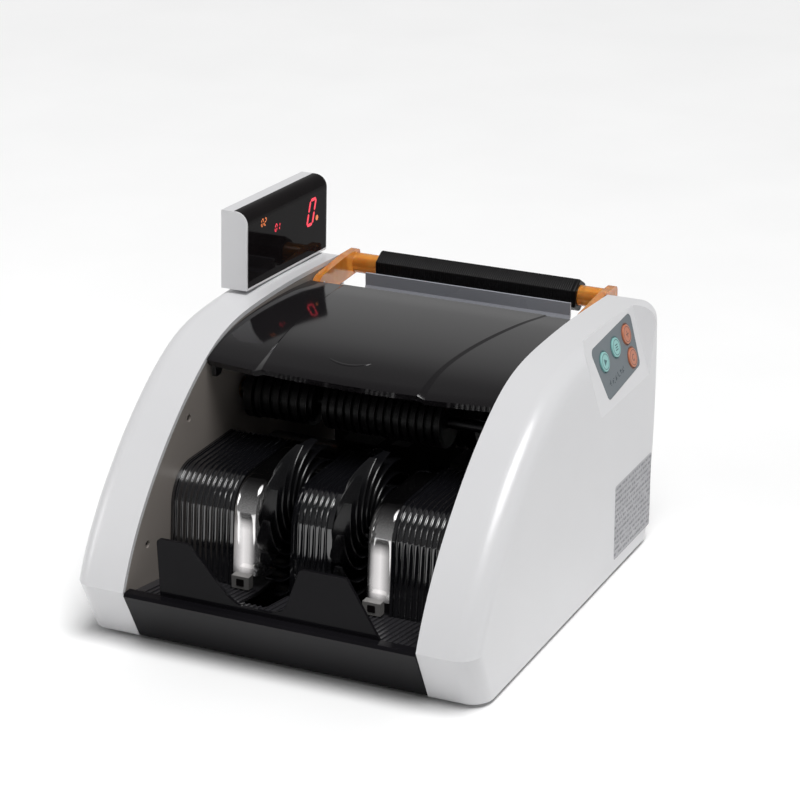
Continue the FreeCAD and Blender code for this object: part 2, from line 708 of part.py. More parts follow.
def hopper_back():
    """The plate the notes lean on: a leaning face with an upright lip along its top."""
    rim = [(146, 155.5), (146, 147), (130, 106), (131.6, 105.4), (147.6, 146.4), (147.6, 155.5)]
    face = side_face([line(a, b) for a, b in zip(rim, rim[1:] + rim[:1])])
    plate = spread(face, -75, 75)
    foot = [(139.2, 128), (130.2, 105.1), (131.6, 104.5), (140.6, 127.4)]
    foot_face = side_face([line(a, b) for a, b in zip(foot, foot[1:] + foot[:1])])
    return plate.fuse(spread(foot_face, -edge, edge)).removeSplitter()


feature("hopper_back_plate", hopper_back())

table = body_of("hopper_floor")
outline = sketch_on(table, "XY_Plane", 103)
rectangle(outline, f"-1 * ({INNER} - dims.gap)", 88, f"{INNER} - dims.gap", 129)
pad(table, outline, 1.6)
slots = sketch_on(table, "XY_Plane", 103)
for x0 in (-48, 28):
    rectangle(slots, x0, 96, x0 + 20, 127)
pocket(table, slots, middle=True)
settle(table, "hopper_floor")


def retard_pad(middle):
    """A rubber pad whose hollow underside faces the drum."""
    grip = box_at(middle - 9, middle + 9, d.drum_y - 9, d.drum_y + 9, d.drum_z + d.drum_rad - 1, 134)
    return grip.cut(rod_x(middle - 10, middle + 10, d.drum_y, d.drum_z, d.drum_rad + 0.6))


feature("retard_pads", retard_pad(-38), retard_pad(38))
feature("retard_bracket", box_at(-edge, edge, d.drum_y - 12, d.drum_y + 12, 134.1, 137).cut(
    Part.makeCylinder(3, 10, Vector(0, d.drum_y, 130))))
feature("sensor_bridges", box_at(-edge, edge, 31.5, 37.5, 124, 137),
        box_at(-edge, edge, 31.5, 37.5, 108, 118))

# ---------------------------------------------------------------- lid


def lid_face(drop=0, thick=10):
    top = [(-46, 148.4), (-38, 152.4), (-17, 159.2), (9, 162.6), (40, 163.6), (78, 162.4),
           (d.cover_rear, 159.6)]
    upper = curve([(y, z - drop) for y, z in top]).toShape()
    lower = curve([(y, z - drop - thick) for y, z in top]).toShape()
    (y0, z0), (y1, z1) = top[0], top[-1]
    return side_face([upper, lower, line((y0, z0 - drop), (y0, z0 - drop - thick)),
                      line((y1, z1 - drop), (y1, z1 - drop - thick))])


def lid_plan(inset, reach):
    """Plan view: straight sides and back, a gently bowed front."""
    x, y = edge - 0.2 - inset, -d.cover_front + inset
    corners = [Vector(-x, y, 100), Vector(0, y - d.cover_bow, 100), Vector(x, y, 100)]
    bow = Part.Arc(*corners).toShape()
    rear = reach - inset
    ends = [Vector(x, rear, 100), Vector(-x, rear, 100)]
    face = Part.Face(Part.Wire([bow, Part.makeLine(corners[2], ends[0]), Part.makeLine(*ends),
                                Part.makeLine(ends[1], corners[0])]))
    return face.extrude(Vector(0, 0, 100))


def top_cover():
    outer = spread(lid_face(0, d.cover_skirt), -inner, inner).common(lid_plan(0, d.cover_rear))
    hollow = spread(lid_face(d.cover_thick, d.cover_skirt), -inner, inner).common(
        lid_plan(d.cover_thick, d.cover_rear))
    lid = outer.cut(hollow)
    for side in (-1, 1):
        x = side * (edge - 3)
        ear = box_at(x - 2, x + 2, 95.5, 104.5, 151.5, 159.6)
        lid = lid.fuse(ear).cut(rod_x(x - 4, x + 4, 100, 156, 2.55))
    tab = box_at(-edge + 1, -edge + 4, -33, -24, 138, 153)
    return lid.fuse(tab)


feature("top_cover", top_cover())


def pin_at(side, y, z, radius, reach):
    x0, x1 = sorted((side * (inner - reach), side * (inner + d.plate)))
    head = sorted((side * (inner + d.plate), side * (inner + d.plate + 1.5)))
    collar = sorted((side * inner, side * (inner + d.plate)))
    return rod_x(x0, x1, y, z, radius).fuse(rod_x(*head, y, z, radius + 2)).fuse(rod_x(*collar, y, z, 3))


feature("pivot_pins", *[pin_at(side, 100, 156, 2.5, 6) for side in (-1, 1)],
        *[pin_at(side, d.pivot_y, d.pivot_z, 2.5, inner - d.arm_inner) for side in (-1, 1)])

# ---------------------------------------------------------------- handle


def handle_arm():
    """A flat arm from the pivot to the grip, with a turned-in end that holds the grip."""
    py, pz, gy, gz = d.pivot_y, d.pivot_z, d.grip_y, d.grip_z
    boss = 7.5
    corners = [(py, pz - boss), (py, pz + boss), (gy - 14, gz + 9.5), (gy + 6, gz + 9), (gy + 6, gz - 7),
               (gy - 10, gz - 7.5)]
    arm = spread(side_face([line(a, b) for a, b in zip(corners, corners[1:] + corners[:1])]),
                 d.arm_inner, d.arm_outer)
    arm = arm.makeFillet(4, [e for e in arm.Edges if e.BoundBox.XLength > 3 and e.BoundBox.YMin > py + 5])
    arm = arm.fuse(rod_x(d.arm_inner, d.arm_outer, py, pz, boss))
    stub = rod_x(d.grip_half + 0.05, d.arm_inner + 0.5, gy, gz, 7)
    arm = arm.fuse(stub).cut(rod_x(d.arm_inner - 1, d.arm_outer + 1, py, pz, 2.55))
    return arm.cut(rod_x(d.grip_half - 5, d.arm_outer + 1, gy, gz, 2)).removeSplitter()


arm = handle_arm()
feature("handle_arms", arm, mirrored(arm))

corner = d.grip_flat / math.sqrt(3)
hexagon = Part.makePolygon([Vector(-d.grip_half, corner * math.sin(a), corner * math.cos(a))
                            for a in [math.radians(60 * i) for i in range(7)]])
grip = Part.Face(hexagon).extrude(Vector(2 * d.grip_half, 0, 0))
grip = grip.makeFillet(1.2, [e for e in grip.Edges if e.BoundBox.XLength > 10])
grip = grip.cut(rod_x(-200, 200, 0, 0, 2))
feature("handle_grip", grip, y="dims.grip_y", z="dims.grip_z")
feature("handle_rod", rod_x(-d.arm_outer + 0.6, d.arm_outer - 0.6, 0, 0, 2), y="dims.grip_y", z="dims.grip_z")

# ---------------------------------------------------------------- display

# The display is drawn upright about its own post, then leans with the casing's top.
front, rear = d.display_front - d.post_y, d.display_front + d.display_long - d.post_y
thick = d.display_thick


def display_block(x1, shrink, over):
    """The display's outer form, less a skin on its lens side, its top and, by over, its ends."""
    low, high = 1.5, 1.5 + d.display_tall - shrink
    made = box_at(-thick / 2, x1, front - over, rear + over, low, high)
    brow = [e for e in made.Edges if e.BoundBox.YLength > 50 and e.BoundBox.XMin > 0 and e.BoundBox.ZMin > 20]
    made = made.makeFillet(9 - shrink, brow)
    if not over:
        tail = [e for e in made.Edges if e.BoundBox.YMin > rear - 0.01 and e.BoundBox.ZMin > 40
                and e.BoundBox.ZLength < 0.01 and e.BoundBox.XLength > 5]
        made = made.makeFillet(7, tail)
    return made


form = display_block(thick / 2, 0, 0)
skin = form.cut(display_block(thick / 2 - 1.2, 1.2, 5))
skin = skin.common(box_at(-1, 12, front + 1.2, rear - 0.8, 3, 60))


def display_shell():
    room = box_at(-thick / 2 + 2.2, thick / 2 - 1.5, front + 2.2, rear - 2.2, 3.7, d.display_tall - 9)
    socket = Part.makeCylinder(7, 6, Vector(0, 0, 1.5))
    bore = Part.makeCylinder(4 + d.shaft_play, 5, Vector(0, 0, 1))
    return form.cut(skin).cut(room).fuse(socket.common(box_at(-7, 6, -7, 7, 0, 8))).cut(bore)


turned_post = Part.makeCylinder(4, 14, Vector(0, 0, -9)).fuse(Part.makeCylinder(6.5, 1, Vector(0, 0, -0.6)))
where = {"x": "-1 * dims.display_x", "y": "dims.post_y", "z": "dims.display_base", "turn": lean}
feature("display_shell", display_shell(), **where)
feature("display_lens", skin, **where)
feature("display_board", box_at(thick / 2 - 6.2, thick / 2 - 4.6, front + 5, rear - 5, 10, 42), **where)
feature("display_post", turned_post, **where)

# ---------------------------------------------------------------- keypad and label


def key_cap(y, up):
    cap = Part.makeCylinder(d.key_rad, 1.4, Vector(y, up, -0.4))
    cap = cap.makeFillet(0.6, [e for e in cap.Edges if e.BoundBox.ZMin > 0.9])
    stem = Part.makeCylinder(2.6, 4, Vector(y, up, -4.4))
    return cap.fuse(stem)


panel = pad_plate(-1.7, 0)
for y, up in KEYS.values():
    panel = panel.cut(Part.makeCylinder(d.key_rad + 0.35, 10, Vector(y, up, -5)))
feature("keypad_panel", on_slope(panel))
for name, (y, up) in KEYS.items():
    feature(name, on_slope(key_cap(y, up)))

# ---------------------------------------------------------------- electrics

circuit = body_of("main_board")
outline = sketch_on(circuit, "YZ_Plane", f"{INNER} + dims.plate + 5")
rectangle(outline, -60, 14, 90, 76)
pad(circuit, outline, 1.6)
chips = sketch_on(circuit, "YZ_Plane", f"{INNER} + dims.plate + 6.6")
for y, z, long, tall in ((-48, 30, 20, 16), (-14, 28, 26, 26), (30, 24, 12, 30), (56, 22, 24, 14)):
    rectangle(chips, y, z, y + long, z + tall)
pad(circuit, chips, 3)
settle(circuit, "main_board")

core = fused("transformer_core", [block(58, 40, 8, (12, 94, 4.2)), block(58, 40, 8, (12, 94, 42)),
                                  block(8, 40, 38, (12, 94, 8)), block(8, 40, 38, (62, 94, 8)),
                                  block(16, 40, 38, (33, 94, 8))])
coil = cut("transformer_coil", block(40, 54, 29, (21, 87, 12.5)), block(16.4, 40.4, 40, (32.8, 93.8, 8)))
group("power_transformer", [core, coil])

inlet_y = d.heel_y - 4
socket = cut("inlet_socket", fused("inlet_body", [block(27.8, 18, 19.8, (-85.9, inlet_y - 18, 18.1)),
                                                  block(34, 2, 26, (-89, inlet_y, 15))]),
             block(22, 16, 14, (-83, inlet_y - 12, 21)))
prongs = [block(4, 12, 1.5, (x, inlet_y - 13, z)) for x, z in ((-81, 27), (-74, 30), (-67, 27))]
settle(fused("power_inlet", [socket] + prongs), "power_inlet")

frame_ring = cut("switch_frame", block(17, 14, 24, (-52, inlet_y - 12, 16)),
                 block(10, 20, 17, (-48.5, inlet_y - 8, 19.5)))
trim = cut("switch_trim", frame_ring, cut("switch_room", block(40, 14.4, 60, (-62, inlet_y - 14.4, 0)),
                                          block(12.8, 30, 19.8, (-49.9, inlet_y - 20, 18.1))))
settle(trim, "switch_frame")
rocker = Part.makeCylinder(12, 9, Vector(-48, 0, 28), Vector(1, 0, 0))
rocker = rocker.common(box_at(-48, -39, 2.4, 20, 21.3, 34.7)).fuse(rod_x(-48, -39, 2.4, 28, 2.4))
rocker.translate(Vector(0, inlet_y - 7.4, 0))
feature("power_switch", rocker)

knob = body_of("gap_adjust_knob")
outline = sketch_on(knob, "XZ_Plane", -1 * (inlet_y + 8.4))
circle(outline, 0, 104, 9)
pad(knob, outline, 7.6)
screw = sketch_on(knob, "XZ_Plane", -1 * (inlet_y + 1))
circle(screw, 0, 104, "dims.shaft_rad - 1")
pad(knob, screw, 14)
grips = sketch_on(knob, "XZ_Plane", -1 * (inlet_y + 8.4))
for i in range(12):
    turn = 2 * math.pi * i / 12
    circle(grips, 9.6 * math.cos(turn), 104 + 9.6 * math.sin(turn), 1.3)
pocket(knob, grips, 7.6, back=True)
settle(knob, "gap_adjust_knob")

# ---------------------------------------------------------------- screws


def screw_head(x, y, z, facing):
    """A pan-head screw seen from its head, with a cross recess."""
    head = Part.makeCylinder(3.2, 1.8, Vector(x, y, z), facing)
    cross = box_at(-2.2, 2.2, -0.4, 0.4, 0, 1).fuse(box_at(-0.4, 0.4, -2.2, 2.2, 0, 1))
    turn = Rotation(Vector(0, 0, 1), facing)
    top = Vector(x, y, z) + facing * 1
    cross.Placement = Placement(top, turn)
    return head.cut(cross)


back_face = Vector(0, 1, 0)
down = Vector(0, 0, -1)
feature("case_screws", *[screw_head(x, d.heel_y - 3.9, z, back_face) for x in (-90, 90) for z in (12, 116)],
        *[screw_head(x, y, d.base_z, down) for x in (-88, 88) for y in (-110, 0, 135)])

# ---------------------------------------------------------------- checks and export

doc.recompute()
for obj in doc.Objects:
    if {"Invalid", "Error"} & set(obj.State):
        raise RuntimeError(f"{obj.Label} did not recompute: {obj.State}")
os.makedirs("parts", exist_ok=True)
for name, obj in parts.items():
    shape = obj.Shape
    if shape.isNull() or not shape.isValid() or not shape.Solids:
        raise RuntimeError(f"{name} has no sound solid")
    shape.exportStep(os.path.join("parts", f"{name}.step"))
    box = shape.optimalBoundingBox(False)
    print(f"{name:24s} solids {len(shape.Solids):3d}  volume {shape.Volume / 1000:8.2f} cm3  "
          f"x {box.XMin:7.1f} {box.XMax:7.1f}  y {box.YMin:7.1f} {box.YMax:7.1f}  "
          f"z {box.ZMin:7.1f} {box.ZMax:7.1f}")
print(len(parts), "sub-parts")
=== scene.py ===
import math
import random

import bpy
from mathutils import Matrix, Vector
from mathutils.geometry import tessellate_polygon


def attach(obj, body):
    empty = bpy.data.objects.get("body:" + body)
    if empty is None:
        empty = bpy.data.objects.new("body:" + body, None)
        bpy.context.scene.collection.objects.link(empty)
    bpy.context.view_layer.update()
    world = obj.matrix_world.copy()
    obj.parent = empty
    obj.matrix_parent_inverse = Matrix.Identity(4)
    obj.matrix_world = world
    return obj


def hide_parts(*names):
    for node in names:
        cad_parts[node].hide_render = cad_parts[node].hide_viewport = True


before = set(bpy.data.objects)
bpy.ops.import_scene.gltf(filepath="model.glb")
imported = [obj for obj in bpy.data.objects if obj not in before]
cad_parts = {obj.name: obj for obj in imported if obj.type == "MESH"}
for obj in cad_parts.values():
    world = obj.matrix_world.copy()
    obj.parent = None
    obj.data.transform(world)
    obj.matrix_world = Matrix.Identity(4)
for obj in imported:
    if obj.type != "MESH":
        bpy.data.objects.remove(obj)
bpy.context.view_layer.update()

# A desktop banknote counter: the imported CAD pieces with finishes, and detailed pieces in
# place of the ones that show most. Sizes are in millimetres from the machine datum (the
# middle plane, the hopper's middle, the casing's bottom edge), turned to metres by at().

scene = bpy.context.scene
scene.view_settings.view_transform = "Standard"
random.seed(7)


# Where the machine datum lies in the frame: this far to the front, and this far above the floor.
DATUM_FORWARD, DATUM_UP = 14, 3


def at(x, y, z):
    """A point in the frame, in metres, from millimetres off the machine datum."""
    return Vector((x / 1000, (y - DATUM_FORWARD) / 1000, (z + DATUM_UP) / 1000))


# ---------------------------------------------------------------- camera and light

eye = bpy.data.cameras.new("camera")
eye.lens, eye.sensor_width, eye.clip_end = 127.12, 36, 60
camera = bpy.data.objects.new("camera", eye)
scene.collection.objects.link(camera)
camera.location = (0.7153, -1.5136, 0.7743)
camera.rotation_euler = Vector((-0.3927, 0.8455, -0.3620)).to_track_quat("-Z", "Y").to_euler()
scene.camera = camera


def hang(lamp, place, facing):
    """Puts a lamp in the scene, at a place and facing a direction."""
    held = bpy.data.objects.new(lamp.name, lamp)
    scene.collection.objects.link(held)
    held.location = place
    held.rotation_euler = Vector(facing).to_track_quat("-Z", "Y").to_euler()


def softbox(name, place, wide, tall, power):
    """A rectangular light, in metres and watts, turned to the machine."""
    lamp = bpy.data.lights.new(name, "AREA")
    lamp.shape, lamp.size, lamp.size_y = "RECTANGLE", wide, tall
    lamp.energy = power
    machine_middle = Vector((0, 0, 0.1))
    hang(lamp, place, machine_middle - Vector(place))


def overhead():
    lamp = bpy.data.lights.new("overhead", "SUN")
    lamp.energy, lamp.angle = 2.15, math.radians(32)
    hang(lamp, (0, 0, 0), (-0.25, 0.18, -0.95))


def room():
    """White surroundings: dim in front of the machine, bright behind it, fading overhead."""
    sky = bpy.data.worlds.new("sky")
    scene.world = sky
    sky.use_nodes = True
    nodes, links = sky.node_tree.nodes, sky.node_tree.links
    way = nodes.new("ShaderNodeTexCoord")
    split = nodes.new("ShaderNodeSeparateXYZ")
    both = nodes.new("ShaderNodeMath")
    both.operation = "MULTIPLY"
    links.new(way.outputs["Generated"], split.inputs[0])
    ranges = (("Y", -0.55, 0.45, 0.14, 0.5), ("Z", 0.45, 1.0, 1.0, 0.3))
    for i, (axis, from_low, from_high, to_low, to_high) in enumerate(ranges):
        spread = nodes.new("ShaderNodeMapRange")
        spread.inputs["From Min"].default_value = from_low
        spread.inputs["From Max"].default_value = from_high
        spread.inputs["To Min"].default_value = to_low
        spread.inputs["To Max"].default_value = to_high
        links.new(split.outputs[axis], spread.inputs["Value"])
        links.new(spread.outputs[0], both.inputs[i])
    links.new(both.outputs[0], nodes["Background"].inputs["Strength"])
    nodes["Background"].inputs["Color"].default_value = (1, 1, 1, 1)


softbox("top_box", (0.5, -0.5, 1.9), 1.2, 0.9, 10)
softbox("left_box", (-1.9, -1.0, 0.9), 0.7, 0.9, 9)
overhead()
room()

# ---------------------------------------------------------------- finishes

finishes = {}


class Nodes:
    """A material's node tree, with short names for the nodes that most finishes share."""

    def __init__(self, name):
        self.material = bpy.data.materials.new(name)
        self.material.use_nodes = True
        self.tree = self.material.node_tree
        self.shader = self.tree.nodes["Principled BSDF"]
        self.place = self.add("ShaderNodeTexCoord").outputs["Object"]
        finishes[name] = self.material

    def add(self, kind, **settings):
        node = self.tree.nodes.new(kind)
        for key, value in settings.items():
            setattr(node, key, value)
        return node

    def link(self, out, into):
        self.tree.links.new(out, into)

    def stretched(self, scale):
        """The object's own coordinates, stretched by a factor along each axis."""
        moved = self.add("ShaderNodeMapping")
        moved.inputs["Scale"].default_value = scale
        self.link(self.place, moved.inputs["Vector"])
        return moved.outputs["Vector"]

    def noise(self, scale, detail=3.0, rough=0.5, where=None):
        node = self.add("ShaderNodeTexNoise")
        node.inputs["Scale"].default_value = scale
        node.inputs["Detail"].default_value = detail
        node.inputs["Roughness"].default_value = rough
        self.link(where or self.place, node.inputs["Vector"])
        return node.outputs["Fac"]

    def ramp(self, value, low, high, start=0.0, end=1.0):
        """A value spread from start..end onto low..high, where each is a number or a colour."""
        node = self.add("ShaderNodeValToRGB")
        first, last = node.color_ramp.elements
        first.position, last.position = start, end
        for stop, shade in ((first, low), (last, high)):
            stop.color = (*shade, 1) if hasattr(shade, "__len__") else (shade, shade, shade, 1)
        self.link(value, node.inputs["Fac"])
        return node.outputs["Color"]

    def mixed(self, share, one, two):
        """One colour at share 0 and the other at share 1, from sockets, colours or numbers."""
        node = self.add("ShaderNodeMix", data_type="RGBA")
        for value, socket in ((share, node.inputs[0]), (one, node.inputs[6]), (two, node.inputs[7])):
            if hasattr(value, "is_linked"):
                self.link(value, socket)
            elif hasattr(value, "__len__"):
                socket.default_value = (*value, 1)
            else:
                socket.default_value = value
        return node.outputs[2]

    def maths(self, kind, one, two):
        """One step of arithmetic, named as Blender names it, on sockets or numbers."""
        node = self.add("ShaderNodeMath", operation=kind)
        for value, socket in ((one, node.inputs[0]), (two, node.inputs[1])):
            if hasattr(value, "is_linked"):
                self.link(value, socket)
            else:
                socket.default_value = value
        return node.outputs[0]

    def split(self):
        """The object's own x, y and z, in metres."""
        node = self.add("ShaderNodeSeparateXYZ")
        self.link(self.place, node.inputs[0])
        return node.outputs

    def bump(self, height, strength, depth=0.0002, edge=0.0):
        """Surface relief from a height value, on edges eased to a small radius."""
        node = self.add("ShaderNodeBump")
        node.inputs["Strength"].default_value = strength
        node.inputs["Distance"].default_value = depth
        self.link(height, node.inputs["Height"])
        if edge:
            eased = self.add("ShaderNodeBevel", samples=4)
            eased.inputs["Radius"].default_value = edge
            self.link(eased.outputs["Normal"], node.inputs["Normal"])
        self.link(node.outputs["Normal"], self.shader.inputs["Normal"])

    def paint(self, colour):
        self.link(colour, self.shader.inputs["Base Color"])

    def roughness(self, low, high, scale=26.0):
        spread = self.ramp(self.noise(scale, 2.0), low, high, 0.15, 0.85)
        self.link(spread, self.shader.inputs["Roughness"])

    def set(self, **values):
        for key, value in values.items():
            self.shader.inputs[key.replace("_", " ")].default_value = value


def plastic(name, dark, light, rough, grain=0.08, grain_scale=1400.0, edge=0.0, **values):
    """Moulded plastic: a faint drift of shade over a fine moulded grain."""
    n = Nodes(name)
    n.paint(n.ramp(n.noise(11, 2, 0.4), dark, light, 0.2, 0.8))
    n.roughness(rough[0], rough[1])
    n.bump(n.noise(grain_scale, 2), grain, edge=edge)
    n.set(**values)


plastic("white_shell", (0.625, 0.625, 0.638), (0.655, 0.655, 0.665), (0.26, 0.36), 0.05, 1500,
        Coat_Weight=0.2, Coat_Roughness=0.12)
plastic("white_case", (0.62, 0.62, 0.635), (0.65, 0.65, 0.66), (0.28, 0.38), 0.05, 1500,
        Coat_Weight=0.2, Coat_Roughness=0.14)
plastic("black_gloss", (0.0062, 0.0055, 0.0062), (0.0095, 0.0086, 0.0095), (0.05, 0.12), 0.012, 900,
        IOR=1.45)
plastic("black_front", (0.0045, 0.0042, 0.0052), (0.008, 0.0075, 0.009), (0.07, 0.16), 0.02, 900,
        edge=0.0005, IOR=1.2)
plastic("black_rib", (0.004, 0.004, 0.005), (0.007, 0.007, 0.0085), (0.05, 0.1), 0.008, 1100,
        IOR=2.1)
plastic("black_satin", (0.010, 0.0095, 0.0105), (0.016, 0.015, 0.017), (0.2, 0.32), 0.06, 1300,
        edge=0.0004, IOR=1.55)
plastic("black_matte", (0.014, 0.0135, 0.014), (0.022, 0.021, 0.022), (0.42, 0.58), 0.25, 1000,
        edge=0.0003)
plastic("inner_wall", (0.22, 0.198, 0.181), (0.26, 0.234, 0.214), (0.34, 0.46), 0.1, 700)
plastic("hopper_grey", (0.29, 0.30, 0.335), (0.34, 0.35, 0.39), (0.22, 0.34), 0.05, 900, edge=0.0003)
plastic("base_steel", (0.055, 0.055, 0.06), (0.075, 0.075, 0.08), (0.4, 0.55), 0.3, 900)
plastic("tray_black", (0.018, 0.0175, 0.02), (0.03, 0.029, 0.032), (0.22, 0.34), 0.06, 1300, edge=0.0002)
plastic("sensor_grey", (0.17, 0.165, 0.16), (0.22, 0.215, 0.21), (0.25, 0.35), 0.05, 1500, edge=0.0004)


def rubber(name, dark, light, rough, grain, ribs=0.0):
    """Moulded rubber: dusty, with a fine matt grain, and with turned rings where it asks."""
    n = Nodes(name)
    dust = n.ramp(n.noise(55, 6, 0.65), 0.0, 1.0, 0.42, 0.75)
    n.paint(n.mixed(n.maths("MULTIPLY", dust, 0.5), dark, light))
    n.roughness(rough[0], rough[1], 90)
    height = n.noise(1700, 3)
    if ribs:
        wave = n.maths("SINE", n.maths("MULTIPLY", n.split()[0], ribs), 0)
        height = n.maths("ADD", n.maths("MULTIPLY", wave, 0.6), height)
    n.bump(height, grain)
    n.set(Sheen_Weight=0.12, Sheen_Roughness=0.4)
    return n


grip_rubber = rubber("grip_rubber", (0.003, 0.0027, 0.003), (0.007, 0.0066, 0.007), (0.36, 0.48), 0.2)
grip_rubber.set(Sheen_Weight=0.0, IOR=1.25)
rubber("foot_rubber", (0.012, 0.012, 0.012), (0.03, 0.029, 0.028), (0.6, 0.75), 0.4)
roller = rubber("roller_rubber", (0.003, 0.0028, 0.003), (0.007, 0.0066, 0.0066), (0.3, 0.45), 0.15, 5200)
roller.set(Sheen_Weight=0.0, IOR=1.35)
finger = rubber("finger_rubber", (0.003, 0.003, 0.0036), (0.008, 0.0078, 0.009), (0.16, 0.28), 0.08)
finger.set(Sheen_Weight=0.0, IOR=1.42)
rubber("belt_rubber", (0.012, 0.011, 0.011), (0.035, 0.032, 0.03), (0.5, 0.65), 0.35)


def metal(name, dark, light, rough, stretch, fine=1.0):
    """Worked metal: fine tool marks along one direction, with stains."""
    n = Nodes(name)
    marks = n.noise(1.0, 4, 0.7, n.stretched(stretch))
    stain = n.ramp(n.noise(30, 5), 0.0, 1.0, 0.4, 0.7)
    n.paint(n.mixed(stain, n.ramp(marks, dark, light, 0.3, 0.7), light))
    n.link(n.ramp(marks, rough[0], rough[1], 0.3, 0.7), n.shader.inputs["Roughness"])
    n.bump(marks, 0.08 * fine, 0.0001)
    n.set(Metallic=1.0)


metal("steel", (0.42, 0.42, 0.43), (0.62, 0.62, 0.63), (0.16, 0.32), (5200, 60, 60))
metal("dark_steel", (0.03, 0.03, 0.032), (0.06, 0.06, 0.062), (0.25, 0.4), (5200, 60, 60))
metal("zinc", (0.5, 0.5, 0.47), (0.66, 0.66, 0.63), (0.25, 0.4), (300, 300, 300))
metal("bronze", (0.32, 0.2, 0.08), (0.52, 0.35, 0.16), (0.25, 0.42), (600, 600, 600))
metal("core", (0.14, 0.14, 0.145), (0.24, 0.24, 0.25), (0.4, 0.6), (40, 40, 2600), 3)
metal("pulley_metal", (0.45, 0.45, 0.45), (0.6, 0.6, 0.6), (0.22, 0.36), (4200, 300, 300))


def window_finish():
    """Polished guide windows with a faint haze, painted shade where they turn onto the deck, and a painted
    glow strip in each flat.
    """
    n = Nodes("window")
    haze = n.ramp(n.noise(60, 5), 0.0, 1.0, 0.5, 0.8)
    polish = n.mixed(haze, (0.93, 0.92, 0.92), (0.84, 0.83, 0.84))
    # Painted shade: the colour darkens to near black from the bend up towards the deck.
    n.paint(n.mixed(n.ramp(n.split()[2], 0.0, 1.0, 0.076, 0.092), polish, (0.014, 0.013, 0.014)))
    n.roughness(0.07, 0.13, 120)
    n.bump(n.noise(220, 2), 0.02, 0.0001)
    n.set(Metallic=0.85)
    # A painted glow strip stands in the flat of each window: emission in place of a bright reflection, on a
    # part that is no lamp.
    across, _, up = n.split()
    side = n.maths("ABSOLUTE", across, 0)
    lit = n.maths("MULTIPLY", n.ramp(up, 0.0, 1.0, 0.037, 0.041), n.ramp(up, 1.0, 0.0, 0.069, 0.072))
    lit = n.maths("MULTIPLY", lit, n.ramp(side, 0.0, 1.0, 0.0415, 0.0435))
    lit = n.maths("MULTIPLY", lit, n.ramp(side, 1.0, 0.0, 0.0500, 0.0515))
    # Painted highlight: the strip's emission strength.
    n.link(n.maths("MULTIPLY", lit, 0.75), n.shader.inputs["Emission Strength"])
    n.shader.inputs["Emission Color"].default_value = (1.0, 0.97, 0.97, 1)


def lens_finish():
    """The display's smoked lens: deep brown-black, polished, with hairline scratches."""
    n = Nodes("lens")
    haze = n.noise(22, 5, 0.6)
    n.paint(n.ramp(haze, (0.005, 0.004, 0.0043), (0.008, 0.0065, 0.007), 0.35, 0.7))
    hair = n.ramp(n.noise(1.0, 2, 0.5, n.stretched((80, 60, 2400))), 0.0, 1.0, 0.66, 0.72)
    n.link(n.ramp(hair, 0.05, 0.16), n.shader.inputs["Roughness"])
    n.bump(hair, 0.02, 0.00005)
    n.set(IOR=1.1)


def amber_finish():
    """Clear orange acetal, paler where it is thin."""
    n = Nodes("amber")
    cloud = n.noise(70, 5, 0.6)
    n.paint(n.ramp(cloud, (0.86, 0.29, 0.035), (0.98, 0.45, 0.09), 0.35, 0.7))
    n.roughness(0.08, 0.2, 150)
    n.bump(n.noise(420, 3), 0.1, 0.0002)
    n.set(Transmission_Weight=0.55, IOR=1.49, Subsurface_Weight=0.25, Subsurface_Scale=0.004,
          Coat_Weight=0.3, Coat_Roughness=0.08)
    n.shader.inputs["Subsurface Radius"].default_value = (1.0, 0.4, 0.1)


def board_finish():
    """A green circuit board with tracks, pads and a glossy mask."""
    n = Nodes("pcb")
    cells = n.add("ShaderNodeTexVoronoi", feature="DISTANCE_TO_EDGE", distance="MANHATTAN")
    cells.inputs["Scale"].default_value = 150
    n.link(n.place, cells.inputs["Vector"])
    track = n.ramp(cells.outputs["Distance"], 1.0, 0.0, 0.03, 0.06)
    pads = n.add("ShaderNodeTexVoronoi", feature="F1")
    pads.inputs["Scale"].default_value = 260
    n.link(n.place, pads.inputs["Vector"])
    dot = n.ramp(pads.outputs["Distance"], 1.0, 0.0, 0.16, 0.2)
    mask = n.mixed(track, (0.008, 0.075, 0.03), (0.02, 0.14, 0.055))
    n.paint(n.mixed(dot, mask, (0.6, 0.6, 0.55)))
    n.roughness(0.2, 0.35)
    n.bump(track, 0.3, 0.0001)


window_finish()
lens_finish()
amber_finish()
board_finish()

plastic("keypad_grey", (0.125, 0.147, 0.162), (0.142, 0.166, 0.181), (0.42, 0.55), 0.2, 1800)
plastic("key_teal", (0.22, 0.46, 0.44), (0.27, 0.53, 0.51), (0.3, 0.42), 0.1, 1500)
plastic("key_orange", (0.45, 0.15, 0.078), (0.52, 0.185, 0.1), (0.3, 0.42), 0.1, 1500)
plastic("ring_teal", (0.035, 0.11, 0.12), (0.05, 0.14, 0.15), (0.4, 0.5), 0.1, 1500)
plastic("ring_brown", (0.14, 0.06, 0.04), (0.18, 0.08, 0.05), (0.4, 0.5), 0.1, 1500)
plastic("mark_dark", (0.02, 0.035, 0.045), (0.035, 0.05, 0.06), (0.4, 0.55), 0.1, 1500)


def glow(name, colour, strength, off):
    """A lit display segment, a little uneven in brightness."""
    n = Nodes(name)
    n.paint(n.ramp(n.noise(400, 2), tuple(c * 0.5 for c in off), off))
    n.link(n.ramp(n.noise(900, 2), tuple(c * 0.8 for c in colour), colour, 0.3, 0.6),
           n.shader.inputs["Emission Color"])
    n.set(Emission_Strength=strength, Roughness=0.3)


glow("led_red", (1.0, 0.012, 0.05), 1.15, (0.2, 0.01, 0.02))
glow("led_orange", (1.0, 0.22, 0.03), 0.8, (0.2, 0.05, 0.01))


